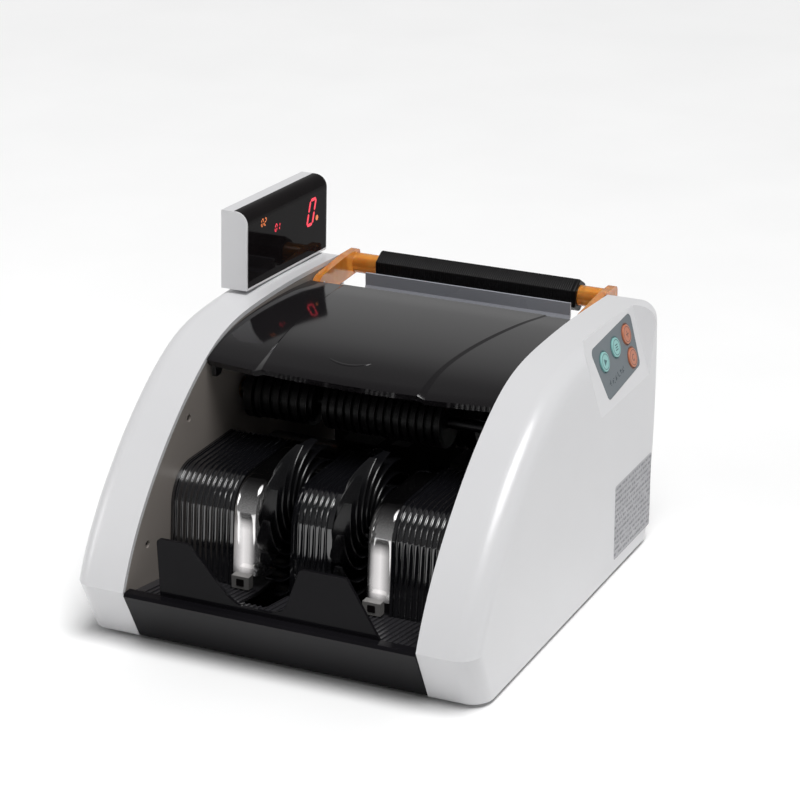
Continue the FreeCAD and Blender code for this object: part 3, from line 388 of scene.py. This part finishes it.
def label_finish():
    """A silver rating plate with rows of short grey bars, and no wording."""
    n = Nodes("rating_plate")
    rows_per_metre = 260
    rows = n.maths("FRACT", n.maths("MULTIPLY", n.split()[2], rows_per_metre), 0)
    row = n.ramp(rows, 0.0, 1.0, 0.45, 0.5)
    chunks = n.ramp(n.noise(1.0, 2, 0.6, n.stretched((0, 620, rows_per_metre))), 0.0, 1.0, 0.47, 0.5)
    bars = n.maths("MULTIPLY", row, chunks)
    base = n.ramp(n.noise(90, 4), (0.33, 0.33, 0.35), (0.39, 0.39, 0.41), 0.4, 0.65)
    n.paint(n.mixed(n.maths("MULTIPLY", bars, 0.75), base, (0.09, 0.09, 0.1)))
    n.roughness(0.3, 0.42)
    n.bump(n.noise(2200, 2), 0.08)


label_finish()


def floor_finish():
    """A pale seamless floor with the faintest mottling."""
    n = Nodes("floor")
    n.paint(n.ramp(n.noise(5, 4), 0.93, 0.95, 0.35, 0.65))
    n.roughness(0.6, 0.75, 8)
    n.bump(n.noise(260, 3), 0.03, 0.0002)


floor_finish()

# ---------------------------------------------------------------- finishes on the CAD pieces

CAD_FINISH = {
    "white_shell": ["side_cover_left", "side_cover_right"],
    "white_case": ["display_shell"],
    "black_gloss": ["top_cover"], "black_front": ["front_panel", "note_stop_plate"],
    "black_rib": ["stacker_guide_left", "stacker_guide_middle", "stacker_guide_right", "sensor_bridges"],
    "black_satin": ["power_switch", "gap_adjust_knob", "retard_bracket", "main_motor"],
    "tray_black": ["stacker_floor"], "sensor_grey": ["stack_sensors"],
    "black_matte": ["rear_panel", "power_inlet", "switch_frame", "hopper_floor"],
    "inner_wall": ["side_plate_left", "side_plate_right"],
    "hopper_grey": ["hopper_back_plate"],
    "base_steel": ["base_plate"],
    "grip_rubber": ["handle_grip"], "foot_rubber": ["rubber_feet"],
    "roller_rubber": ["exit_rollers", "pinch_rollers", "drum_rollers", "kicker_rollers", "retard_pads"],
    "finger_rubber": ["impeller_wheels"], "belt_rubber": ["drive_belts"],
    "steel": ["drum_shaft", "kicker_shaft", "motor_spindle", "handle_rod", "pivot_pins", "display_post"],
    "dark_steel": ["impeller_shaft", "exit_shaft", "pinch_shaft"],
    "zinc": ["tie_bars", "case_screws"], "bronze": ["shaft_bushes"], "core": ["power_transformer"],
    "pulley_metal": ["drum_pulley", "exit_pulley", "kicker_pulley", "impeller_pulley"],
    "window": ["sensor_windows"], "lens": ["display_lens"], "amber": ["handle_arms"],
    "pcb": ["display_board", "main_board"], "keypad_grey": ["keypad_panel"],
    "key_teal": ["key_start", "key_mode"], "key_orange": ["key_add", "key_reset"],
}

for finish, names in CAD_FINISH.items():
    for name in names:
        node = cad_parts[name]
        node.data.materials.clear()
        node.data.materials.append(finishes[finish])

# ---------------------------------------------------------------- mesh helpers


def piece(name, points, faces, body, finish, slot, place=at, crisp=35, easing=0.0, steps=2):
    """A mesh from points in mm, riding on a body, smooth up to a crisp angle."""
    mesh = bpy.data.meshes.new(name)
    mesh.from_pydata([place(*p) for p in points], [], faces)
    mesh.validate()
    made = bpy.data.objects.new(name, mesh)
    scene.collection.objects.link(made)
    mesh.materials.append(finishes[finish])
    mesh.polygons.foreach_set("use_smooth", [True] * len(mesh.polygons))
    mesh.set_sharp_from_angle(angle=math.radians(crisp))
    if easing:
        ease(made, easing, steps)
    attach(made, body)
    return made


def ease(made, width, steps=2, angle=35):
    """Rounds a piece's sharp edges by a width in mm."""
    rounding = made.modifiers.new("eased_edges", "BEVEL")
    rounding.width, rounding.segments = width / 1000, steps
    rounding.limit_method, rounding.angle_limit = "ANGLE", math.radians(angle)
    rounding.harden_normals = True


def facing_front(a, b, depth):
    """Turns a prism so that its outline is across and up, and its depth runs along Y."""
    return a, depth, b


def prism(outline, near, far, holes=(), turn=lambda a, b, depth: (depth, a, b)):
    """Points and faces of a plate: outlines of (a, b) pairs, drawn from depth near to far."""
    loops = [list(outline)] + [list(h) for h in holes]
    flat = [p for loop in loops for p in loop]
    count = len(flat)
    points = [turn(a, b, near) for a, b in flat] + [turn(a, b, far) for a, b in flat]
    tris = tessellate_polygon([[Vector((a, b, 0)) for a, b in loop] for loop in loops])
    faces = [tuple(t) for t in tris] + [tuple(count + i for i in reversed(t)) for t in tris]
    start = 0
    for loop in loops:
        for i in range(len(loop)):
            a, b = start + i, start + (i + 1) % len(loop)
            faces.append((a, b, count + b, count + a))
        start += len(loop)
    return points, faces


def joined(*shapes):
    """Several shapes, each its points and faces, as one."""
    points, faces = [], []
    for more, sides in shapes:
        faces += [tuple(len(points) + i for i in side) for side in sides]
        points += more
    return points, faces


def ring(y, z, radius, count=24):
    """A circle's outline round a middle."""
    turns = [2 * math.pi * i / count for i in range(count)]
    return [(y + radius * math.cos(turn), z + radius * math.sin(turn)) for turn in turns]


def rounded(corners, radius, steps=5):
    """An outline whose corners are eased with arcs; radius is one value or one per corner."""
    radii = radius if hasattr(radius, "__len__") else [radius] * len(corners)
    found = []
    for i, (x, y) in enumerate(corners):
        p = Vector((x, y))
        a = Vector(corners[i - 1]) - p
        b = Vector(corners[(i + 1) % len(corners)]) - p
        reach = min(radii[i] / math.tan(a.angle(b) / 2), 0.48 * a.length, 0.48 * b.length)
        if radii[i] <= 0 or reach < 1e-3:
            found.append((x, y))
            continue
        start, end = p + a.normalized() * reach, p + b.normalized() * reach
        for k in range(steps + 1):
            t = k / steps
            q = start * (1 - t) ** 2 + p * (2 * t * (1 - t)) + end * t ** 2
            found.append((q.x, q.y))
    return found


def grid(columns, rows, point, closed=False):
    """Points and quads of a sheet whose points come from point(column, row)."""
    points = [point(i, j) for i in range(columns) for j in range(rows)]
    last = columns if closed else columns - 1
    faces = [(i * rows + j, ((i + 1) % columns) * rows + j, ((i + 1) % columns) * rows + j + 1,
              i * rows + j + 1) for i in range(last) for j in range(rows - 1)]
    return points, faces


# ---------------------------------------------------------------- ribbed guides

GUIDE_FACE, GUIDE_FOOT, GUIDE_TOP, GUIDE_BACK = -88, 26.2, 93, -8
BEND, LEAN = 24, 4
GUIDE_EDGE = 98.1
CHEEK = 1.8
WHEEL_Y, WHEEL_Z = -60, 64


def guide_path():
    """Stations up a guide: (y, z, outward y, outward z), foot first."""
    knee = GUIDE_TOP - BEND
    tilt = math.atan2(LEAN, knee - GUIDE_FOOT)
    path = [(GUIDE_FACE - LEAN * (knee - z) / (knee - GUIDE_FOOT), z, -math.cos(tilt), math.sin(tilt))
            for z in (GUIDE_FOOT, 34, 44, 54, 62, knee - 1)]
    bend_steps = 16
    for k in range(1, bend_steps + 1):
        turn = math.pi / 2 * k / bend_steps
        out = (-math.cos(turn), math.sin(turn))
        path.append((GUIDE_FACE + BEND + out[0] * BEND, GUIDE_TOP - BEND + out[1] * BEND, *out))
    path += [(y, GUIDE_TOP, 0, 1) for y in (-50, -36, -22, GUIDE_BACK)]
    return path


def ribs_across(x0, x1):
    """Section across a ribbed sheet: (x, depth under the rib tops)."""
    pitch, margin, valley = 3.8, 1.5, 0.8
    count = int((x1 - x0 - margin) / pitch)
    start = (x0 + x1 - (count - 1) * pitch) / 2
    half_rib = [(-0.78, valley), (-0.62, 0.72), (-0.5, 0.3), (-0.38, 0.1), (-0.2, 0.02)]
    section = [(x0, valley)]
    for i in range(count):
        middle = start + i * pitch
        section += [(middle + x, deep) for x, deep in half_rib] + [(middle, 0.0)]
        section += [(middle - x, deep) for x, deep in reversed(half_rib)]
    return section + [(x1, valley)]


def cheek(x0, x1):
    """The closed end of a guide, with the way for the impeller shaft."""
    underside, toe, shaft_hole = 10, 14, 6
    edge = [(y, z) for y, z, _, _ in guide_path()]
    edge += [(GUIDE_BACK, GUIDE_TOP - underside), (GUIDE_FACE - LEAN + toe, GUIDE_FOOT)]
    return prism(edge, x0, x1, [ring(WHEEL_Y, WHEEL_Z, shaft_hole)])


def guide(name, x0, x1, node):
    """A ribbed skin over a plain one, closed by a cheek at each end."""
    path, section, skin = guide_path(), ribs_across(x0, x1), 2.4

    def under(x, j, depth):
        y, z, out_y, out_z = path[j]
        return x, y - out_y * depth, z - out_z * depth

    outer = grid(len(section), len(path), lambda i, j: under(section[i][0], j, section[i][1]))
    points, faces = grid(2, len(path), lambda i, j: under((x0, x1)[i], j, skin))
    inner = (points, [face[::-1] for face in faces])
    ends = [cheek(x0, x0 + CHEEK), cheek(x1 - CHEEK, x1)]
    made = piece(name, *joined(outer, inner, *ends), "machine", "black_rib", "black_gloss", crisp=50)
    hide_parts(node)


guide("guide_ribs_left", -GUIDE_EDGE, -54.2, "stacker_guide_left")
guide("guide_ribs_middle", -14, 14, "stacker_guide_middle")
guide("guide_ribs_right", 54.2, GUIDE_EDGE, "stacker_guide_right")


def window_cover(name, side):
    """A polished cover over the guide's corner: flat, then rounded into the impeller's slot."""
    lowest, flat_end, corner, corner_steps, below_ribs = 30, 42.5, 6.3, 8, 0.3
    path = [station for station in guide_path() if station[1] > lowest]
    across = [(53.8, 0.4), (53.4, 0), (50, 0), (47, 0), (44, 0), (flat_end, 0)]
    for k in range(1, corner_steps + 1):
        turn = math.pi / 2 * k / corner_steps
        across.append((flat_end - corner * math.sin(turn), corner * (1 - math.cos(turn))))
    across += [(flat_end - corner, 9), (flat_end - corner, 13)]

    def point(i, j):
        y, z, out_y, out_z = path[j]
        x, sunk = across[i]
        depth = below_ribs + sunk
        return side * x, y - out_y * depth, z - out_z * depth

    points, faces = grid(len(across), len(path), point)
    if side < 0:
        faces = [face[::-1] for face in faces]
    made = piece(name, points, faces, "machine", "window", "window", crisp=60)
    wall = made.modifiers.new("wall", "SOLIDIFY")
    wall.thickness, wall.offset = 0.0012, 1
    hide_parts("sensor_windows")


window_cover("window_cover_left", -1)
window_cover("window_cover_right", 1)

# The dark eyes of the two sensor blocks at the windows' feet.
for side, tag in ((-1, "left"), (1, "right")):
    middle, half = side * 45, 2.6
    eye_frame = rounded([(middle - half, 29.6), (middle + half, 29.6), (middle + half, 34.2),
                         (middle - half, 34.2)], 0.6, 3)
    piece(f"stack_eye_{tag}", *prism(eye_frame, -98.25, -97.9, turn=facing_front), "machine", "lens",
          "lens")

# ---------------------------------------------------------------- note stop

stop = rounded([(-76, 36.1), (-77.5, 74), (-55.5, 74), (-30, 45.5), (-22, 40), (0, 39.6), (9, 43),
                (19.5, 72), (50.5, 72), (72, 36.1)], [0, 3.5, 4, 14, 12, 12, 10, 4, 4, 0], 7)
made = piece("stop_plate", *prism(stop, -143, -141, turn=facing_front), "machine", "black_front",
             "black_gloss", easing=0.6, steps=3)
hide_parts("note_stop_plate")

# ---------------------------------------------------------------- impellers


HUB, HALF_WIDE = 12.0, 7.0


def finger(middle, start):
    """One soft, tapering finger whose tip trails behind its root and slants across."""
    root, reach, sweep, steps = HUB - 1.2, 40.0, math.radians(88), 12
    root_half, taper, tip_slant, slant_from = 1.05, 0.65, 9.0, 0.72
    line, half_thick = [], []
    for s in range(steps + 1):
        share = s / steps
        radius, turn = root + reach * share, start - sweep * share
        line.append((radius * math.cos(turn), radius * math.sin(turn)))
        half_thick.append(root_half - taper * share)
    across = []
    for s in range(steps + 1):
        a, b = line[max(0, s - 1)], line[min(steps, s + 1)]
        way = Vector((b[0] - a[0], b[1] - a[1])).normalized()
        across.append((-way.y, way.x))
    # The section is a long flat oval whose ends are eased.
    section = [(-1, 0), (-0.93, 0.75), (-0.8, 1), (0, 1), (0.8, 1), (0.93, 0.75), (1, 0), (0.93, -0.75),
               (0.8, -1), (0, -1), (-0.8, -1), (-0.93, -0.75)]

    def point(i, j):
        slant = tip_slant * max(0, (j / steps - slant_from) / (1 - slant_from)) ** 1.3
        u, v = section[i]
        y = line[j][0] + across[j][0] * v * half_thick[j]
        z = line[j][1] + across[j][1] * v * half_thick[j]
        return middle + slant / 2 + u * (HALF_WIDE - slant / 2), WHEEL_Y + y, WHEEL_Z + z

    points, faces = grid(len(section), steps + 1, point, closed=True)
    faces.append(tuple(i * (steps + 1) + steps for i in range(len(section))))
    return points, faces


def finger_wheel(name, middle, node):
    """A turned hub with a groove round its middle, and its fingers."""
    fingers, around, bore, groove = 16, 48, 4.1, HUB - 0.6
    shapes = [finger(middle, 2 * math.pi * k / fingers) for k in range(fingers)]
    hub = [(-HALF_WIDE, bore), (-HALF_WIDE, HUB - 0.8), (-HALF_WIDE + 0.8, HUB), (-1.6, HUB), (-1.2, groove),
           (1.2, groove), (1.6, HUB), (HALF_WIDE - 0.8, HUB), (HALF_WIDE, HUB - 0.8), (HALF_WIDE, bore)]

    def turned(i, j):
        x, radius = hub[j]
        turn = 2 * math.pi * i / around
        return middle + x, WHEEL_Y + radius * math.cos(turn), WHEEL_Z + radius * math.sin(turn)

    shapes.append(grid(around, len(hub), turned, closed=True))
    made = piece(name, *joined(*shapes), "impeller", "finger_rubber", "finger_rubber", crisp=45)
    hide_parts(node)


finger_wheel("finger_wheel_left", -25, "impeller_wheels")
finger_wheel("finger_wheel_right", 25, "impeller_wheels")

# ---------------------------------------------------------------- top cover

LID_TOP = [(-46, 148.4), (-38, 152.4), (-17, 159.2), (9, 162.6), (40, 163.6), (78, 162.4), (108, 159.6)]
LID_HALF, LID_REAR = 97.9, 108.0
SKIN_DROP = 1.05


def smooth_at(table, x):
    """A smooth curve through a table of (x, value) pairs."""
    for i in range(len(table) - 1):
        if x <= table[i + 1][0] or i == len(table) - 2:
            break
    (x0, y0), (x1, y1) = table[i], table[i + 1]
    before, after = table[max(0, i - 1)], table[min(len(table) - 1, i + 2)]
    m0 = (y1 - before[1]) / (x1 - before[0])
    m1 = (after[1] - y0) / (after[0] - x0)
    t, step = (x - x0) / (x1 - x0), x1 - x0
    return ((2 * t ** 3 - 3 * t ** 2 + 1) * y0 + (t ** 3 - 2 * t ** 2 + t) * step * m0
            + (-2 * t ** 3 + 3 * t ** 2) * y1 + (t ** 3 - t ** 2) * step * m1)


def lid_height(x, y, t, raised=1.0):
    """Height of the lid at a share t of the way back, on its raised middle or beside it."""
    lift, crown = 1.9 - 1.3 * t, 0.21 * (1 - (x / LID_HALF) ** 2)
    return smooth_at(LID_TOP, y) - SKIN_DROP + lift * raised + crown


def lid():
    """The smoked-black cover: a raised middle whose edges run out towards the back."""
    shares = [0, 0.1, 0.2, 0.3, 0.4, 0.48, 0.55, 0.6, 0.64, 0.68, 0.72, 0.78, 0.85, 0.92, 0.97, 1.0]
    shares = [-s for s in reversed(shares[1:])] + shares
    middle_end, side_start = 0.6, 0.68
    rows, swing, crease_front, crease_spread = 46, 4, 54, 19
    corner_front, bow = -38, 4.5

    def point(i, j):
        share, t = shares[i], j / (rows - 1)
        side, far = (-1 if share < 0 else 1), abs(share)
        shift = -swing * (1 - t) * side
        crease = crease_front + crease_spread * t ** 1.25 + shift
        inside, outside = crease - 0.6, crease + 0.8 + 3.6 * math.exp(-8 * t)
        if far <= middle_end:
            x, raised = shift + (inside - shift) * far / middle_end, 1
        elif far >= side_start:
            x = outside + (LID_HALF - outside) * (far - side_start) / (1 - side_start)
            raised = 0
        else:
            down = (far - middle_end) / (side_start - middle_end)
            x, raised = inside + (outside - inside) * down, 1 - down
        front = corner_front - bow * (1 - (x / LID_HALF) ** 2)
        y = front + (LID_REAR - front) * t
        roll = 0.5 * max(0, 1 - t / 0.03) ** 2
        return side * x, y, lid_height(x, y, t, raised) - roll

    columns = len(shares)
    points, faces = grid(columns, rows, point)
    edge = [i * rows for i in range(columns)] + [(columns - 1) * rows + j for j in range(1, rows)]
    edge += [i * rows + rows - 1 for i in range(columns - 2, -1, -1)] + [j for j in range(rows - 2, 0, -1)]
    # The skirt hangs from the edge all round, set back under the front lip.
    base, skirt, set_back = len(points), 4.2, 2.0
    points += [(points[e][0] * 0.995, points[e][1] + (set_back if e % rows == 0 else 0), points[e][2] - skirt)
               for e in edge]
    faces += [(edge[k], base + k, base + (k + 1) % len(edge), edge[(k + 1) % len(edge)])
              for k in range(len(edge))]
    made = piece("lid_shell", points, faces, "cover", "black_gloss", "black_gloss", crisp=13)
    wall = made.modifiers.new("wall", "SOLIDIFY")
    wall.thickness, wall.offset, wall.use_even_offset = 0.0022, -1, True
    ease(made, 0.6, 3, 28)
    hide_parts("top_cover")


def finger_mark():
    """A thin raised crescent near the front of the lid's middle panel."""
    count, half_long, bow, middle_x, front_y = 25, 15, 4.6, -6, -26
    section = [(-1, 0), (-0.5, 0.35), (0.5, 0.35), (1, 0)]

    def point(i, j):
        along = -1 + 2 * i / (count - 1)
        half_wide = math.sqrt(max(0, 1 - along ** 2)) + 0.02
        u, up = section[j]
        x, y = middle_x + half_long * along, front_y + bow * along ** 2 + u * half_wide
        lid_front, lid_long = -42, 150
        return x, y, lid_height(x, y, (y - lid_front) / lid_long) + up * 0.5

    piece("lid_finger_mark", *grid(count, len(section), point), "cover", "black_gloss", "black_gloss",
          crisp=80)


lid()
finger_mark()

# Ears that hold the lid's pivot pins, and the small catch under its left front corner.
for side, tag in ((-1, "left"), (1, "right")):
    x, half, pin_hole = side * 95.1, 2, ring(100, 156, 2.56)
    outline = rounded([(95.5, 151.5), (104.5, 151.5), (104.5, 158.6), (95.5, 158.6)], [3.5, 3.5, 0, 0])
    made = piece(f"lid_ear_{tag}", *prism(outline, x - half, x + half, [pin_hole]), "cover", "black_satin",
                 "black_gloss", easing=0.3)
    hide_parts("top_cover")
catch = rounded([(-33, 138), (-27, 138), (-24, 142), (-24, 153.5), (-33, 153)], [1.2, 1.2, 1.2, 0, 0])
made = piece("lid_catch", *prism(catch, -97, -94), "cover", "black_satin", "black_gloss", easing=0.4)
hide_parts("top_cover")

# ---------------------------------------------------------------- handle grip


GRIP_Y, GRIP_Z = 168, 154


def grip():
    """A six-sided rubber sleeve with shallow rings along its whole length."""
    half, flat, pitch, rod_hole = 73.5, 19.7, 1.5, 2.05
    stations = [(-half, 0.9), (-half + 0.5, 0.3), (-half + 1.2, 0)]
    x = -half + 2.0
    while x < half - 2.8:
        stations += [(x, 0.0), (x + 0.2, 0.2), (x + 0.42, 0.2), (x + 0.62, 0.0)]
        x += pitch
    stations += [(half - 1.2, 0), (half - 0.5, 0.3), (half, 0.9)]
    corner = flat / math.sqrt(3)
    turns = [math.radians(60 * k + 90) for k in range(6)]
    section = rounded([(corner * math.cos(turn), corner * math.sin(turn)) for turn in turns], 1.6, 3)
    count = len(section)

    def point(i, j):
        x, sunk = stations[j]
        y, z = section[i]
        less = 1 - sunk / (flat / 2)
        return x, GRIP_Y + y * less, GRIP_Z + z * less

    tube = grid(count, len(stations), point, closed=True)
    caps = []
    for j, flip in ((0, False), (len(stations) - 1, True)):
        outer = [tube[0][i * len(stations) + j] for i in range(count)]
        inner = [(outer[0][0], y, z) for y, z in ring(GRIP_Y, GRIP_Z, rod_hole, count)]
        near = min(range(count), key=lambda k: (inner[k][1] - outer[0][1]) ** 2
                   + (inner[k][2] - outer[0][2]) ** 2)
        sides = []
        for i in range(count):
            a, b = i, (i + 1) % count
            c, d = count + (near + i) % count, count + (near + i + 1) % count
            sides.append((a, b, d, c) if flip else (b, a, c, d))
        caps.append((outer + inner, sides))
    made = piece("grip_sleeve", *joined(tube, *caps), "handle", "grip_rubber", "rubber_black", crisp=50)
    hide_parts("handle_grip")


grip()

# ---------------------------------------------------------------- display digits

TILT = math.radians(-2.7)
POST = Vector((-119.5, 144, 163.6))
LENS_OUT = 9.5


def on_lens(out, along, up):
    """A point on the tilted lens: out from its face, along Y and up, before the tilt."""
    local = Vector((LENS_OUT + out, along - POST.y, up - POST.z))
    local.rotate(Matrix.Rotation(TILT, 3, "X"))
    return at(*(POST + local))


def bar(a, b, thick):
    """A pointed segment between two points, as an outline."""
    a, b = Vector(a), Vector(b)
    way = (b - a).normalized()
    across = Vector((-way.y, way.x)) * thick / 2
    tip = way * thick / 2
    outline = (a, a + tip + across, b - tip + across, b, b - tip - across, a + tip - across)
    return [tuple(p) for p in outline]


SEGMENT = (0.03, 0.1)


def digit(name, along, up, tall, wide, lean, lit, finish, thick):
    """Seven-segment bars on the lens, leaning to one side at the top."""
    w, h = wide / 2, tall / 2
    ends = {"a": ((-w, h), (w, h)), "b": ((w, h), (w, 0)), "c": ((w, 0), (w, -h)), "d": ((w, -h), (-w, -h)),
            "e": ((-w, -h), (-w, 0)), "f": ((-w, 0), (-w, h)), "g": ((-w, 0), (w, 0))}
    shapes = []
    for key in lit:
        (x0, y0), (x1, y1) = ends[key]
        gap = Vector((x1 - x0, y1 - y0)).normalized() * 0.25
        a = (x0 + gap.x + lean * (y0 + gap.y), y0 + gap.y)
        b = (x1 - gap.x + lean * (y1 - gap.y), y1 - gap.y)
        shapes.append(prism([(along + p, up + q) for p, q in bar(a, b, thick)], *SEGMENT))
    piece(name, *joined(*shapes), "display", finish, "lens", place=on_lens)


def small_digit(name, along, up, lit, finish):
    """One of the four small digits, all of one size."""
    digit(name, along, up, 4.6, 2.4, 0.2, lit, finish, 0.9)


digit("digit_units", 133.3, 196.8, 16.6, 8.2, 0.33, "abcdef", "led_red", 2.1)
piece("digit_point", *prism(ring(141.6, 191, 1.9, 20), *SEGMENT), "display", "led_orange", "lens",
      place=on_lens)
small_digit("small_digit_left", 61.3, 206.4, "abcdef", "led_orange")
small_digit("small_digit_left_second", 65.6, 206.2, "abged", "led_orange")
small_digit("small_digit_right", 81.0, 198.4, "abcdef", "led_red")
small_digit("small_digit_right_second", 85.0, 198.2, "bc", "led_red")

# ---------------------------------------------------------------- keypad prints

KEYS = {"start": (74.5, 29.7, "ring_teal"), "mode": (95.7, 32.4, "ring_teal"),
        "add": (116.3, 34.6, "ring_brown"), "reset": (117.2, 18.4, "ring_brown")}
SLOPE, SLOPE_X, SLOPE_Z = math.radians(16), 135, 118


def on_slope(out, along, up):
    """A point on the keypad's slope: out from it, along Y, and up it from its foot."""
    x = SLOPE_X - up * math.sin(SLOPE) + out * math.cos(SLOPE)
    return at(x, along, SLOPE_Z + up * math.cos(SLOPE) + out * math.sin(SLOPE))


def marks(key):
    """Plain strokes for a key's sign, round its middle: a triangle, bars, a cross, a loop."""
    if key == "start":
        return [[(-2.2, 2.6), (-2.2, -2.6), (2.6, 0)]]
    if key == "mode":
        return [bar((-2.6, h), (2.6, h), 0.9) for h in (-1.9, 0, 1.9)]
    if key == "add":
        return [bar((-2.8, 0), (2.8, 0), 1.0), bar((0, -2.8), (0, -0.6), 1.0), bar((0, 0.6), (0, 2.8), 1.0)]
    turns = [math.radians(40 + 280 * k / 14) for k in range(15)]
    outer = [(2.7 * math.cos(t), 2.7 * math.sin(t)) for t in turns]
    return [outer + [(1.9 * math.cos(t), 1.9 * math.sin(t)) for t in reversed(turns)]]


around, key_gap, key_edge, sign_scale, key_top = 40, 6.85, 7.5, 0.85, 1.0
for key, (along, up, ring_finish) in KEYS.items():
    rim = prism(ring(along, up, key_edge, around), 0.01, 0.09, [ring(along, up, key_gap, around)])
    piece(f"key_ring_{key}", *rim, "machine", ring_finish, "keypad", place=on_slope)
    inner = prism(ring(along, up, 5.2, around), key_top, key_top + 0.04, [ring(along, up, 4.75, around)])
    sign = [prism([(along + sign_scale * a, up + sign_scale * b) for a, b in outline],
                  key_top, key_top + 0.05) for outline in marks(key)]
    piece(f"key_sign_{key}", *joined(inner, *sign), f"{key}_key", ring_finish, "keypad", place=on_slope)

# Six groups of plain strokes stand for the line of print below the keys.
strokes = []
groups, strokes_each, first, pitch, line_up, line_rise = 6, 4, 76.5, 4.6, 14.2, 0.25
for k in range(groups):
    along, up = first + pitch * k, line_up + line_rise * k
    for _ in range(strokes_each):
        dx, dy = random.uniform(-1.2, 1.2), random.uniform(-1.6, 1.6)
        tall = random.random() < 0.5
        end = (dx, dy + random.uniform(1.4, 2.6)) if tall else (dx + random.uniform(1.2, 2.2), dy)
        strokes.append(prism([(along + a, up + b) for a, b in bar((dx, dy), end, 0.5)], 0.01, 0.07))
piece("panel_marks", *joined(*strokes), "machine", "mark_dark", "keypad", place=on_slope)

# ---------------------------------------------------------------- rating plate

plate = rounded([(80, 8), (146, 8), (146, 60), (80, 60)], 2.0, 4)
piece("rating_plate", *prism(plate, 134.9, 135.12), "machine", "rating_plate", "hopper_grey")

# ---------------------------------------------------------------- floor

bpy.ops.mesh.primitive_grid_add(x_subdivisions=4, y_subdivisions=4, size=24)
floor = bpy.context.active_object
floor.name = "floor"
floor.data.materials.append(finishes["floor"])
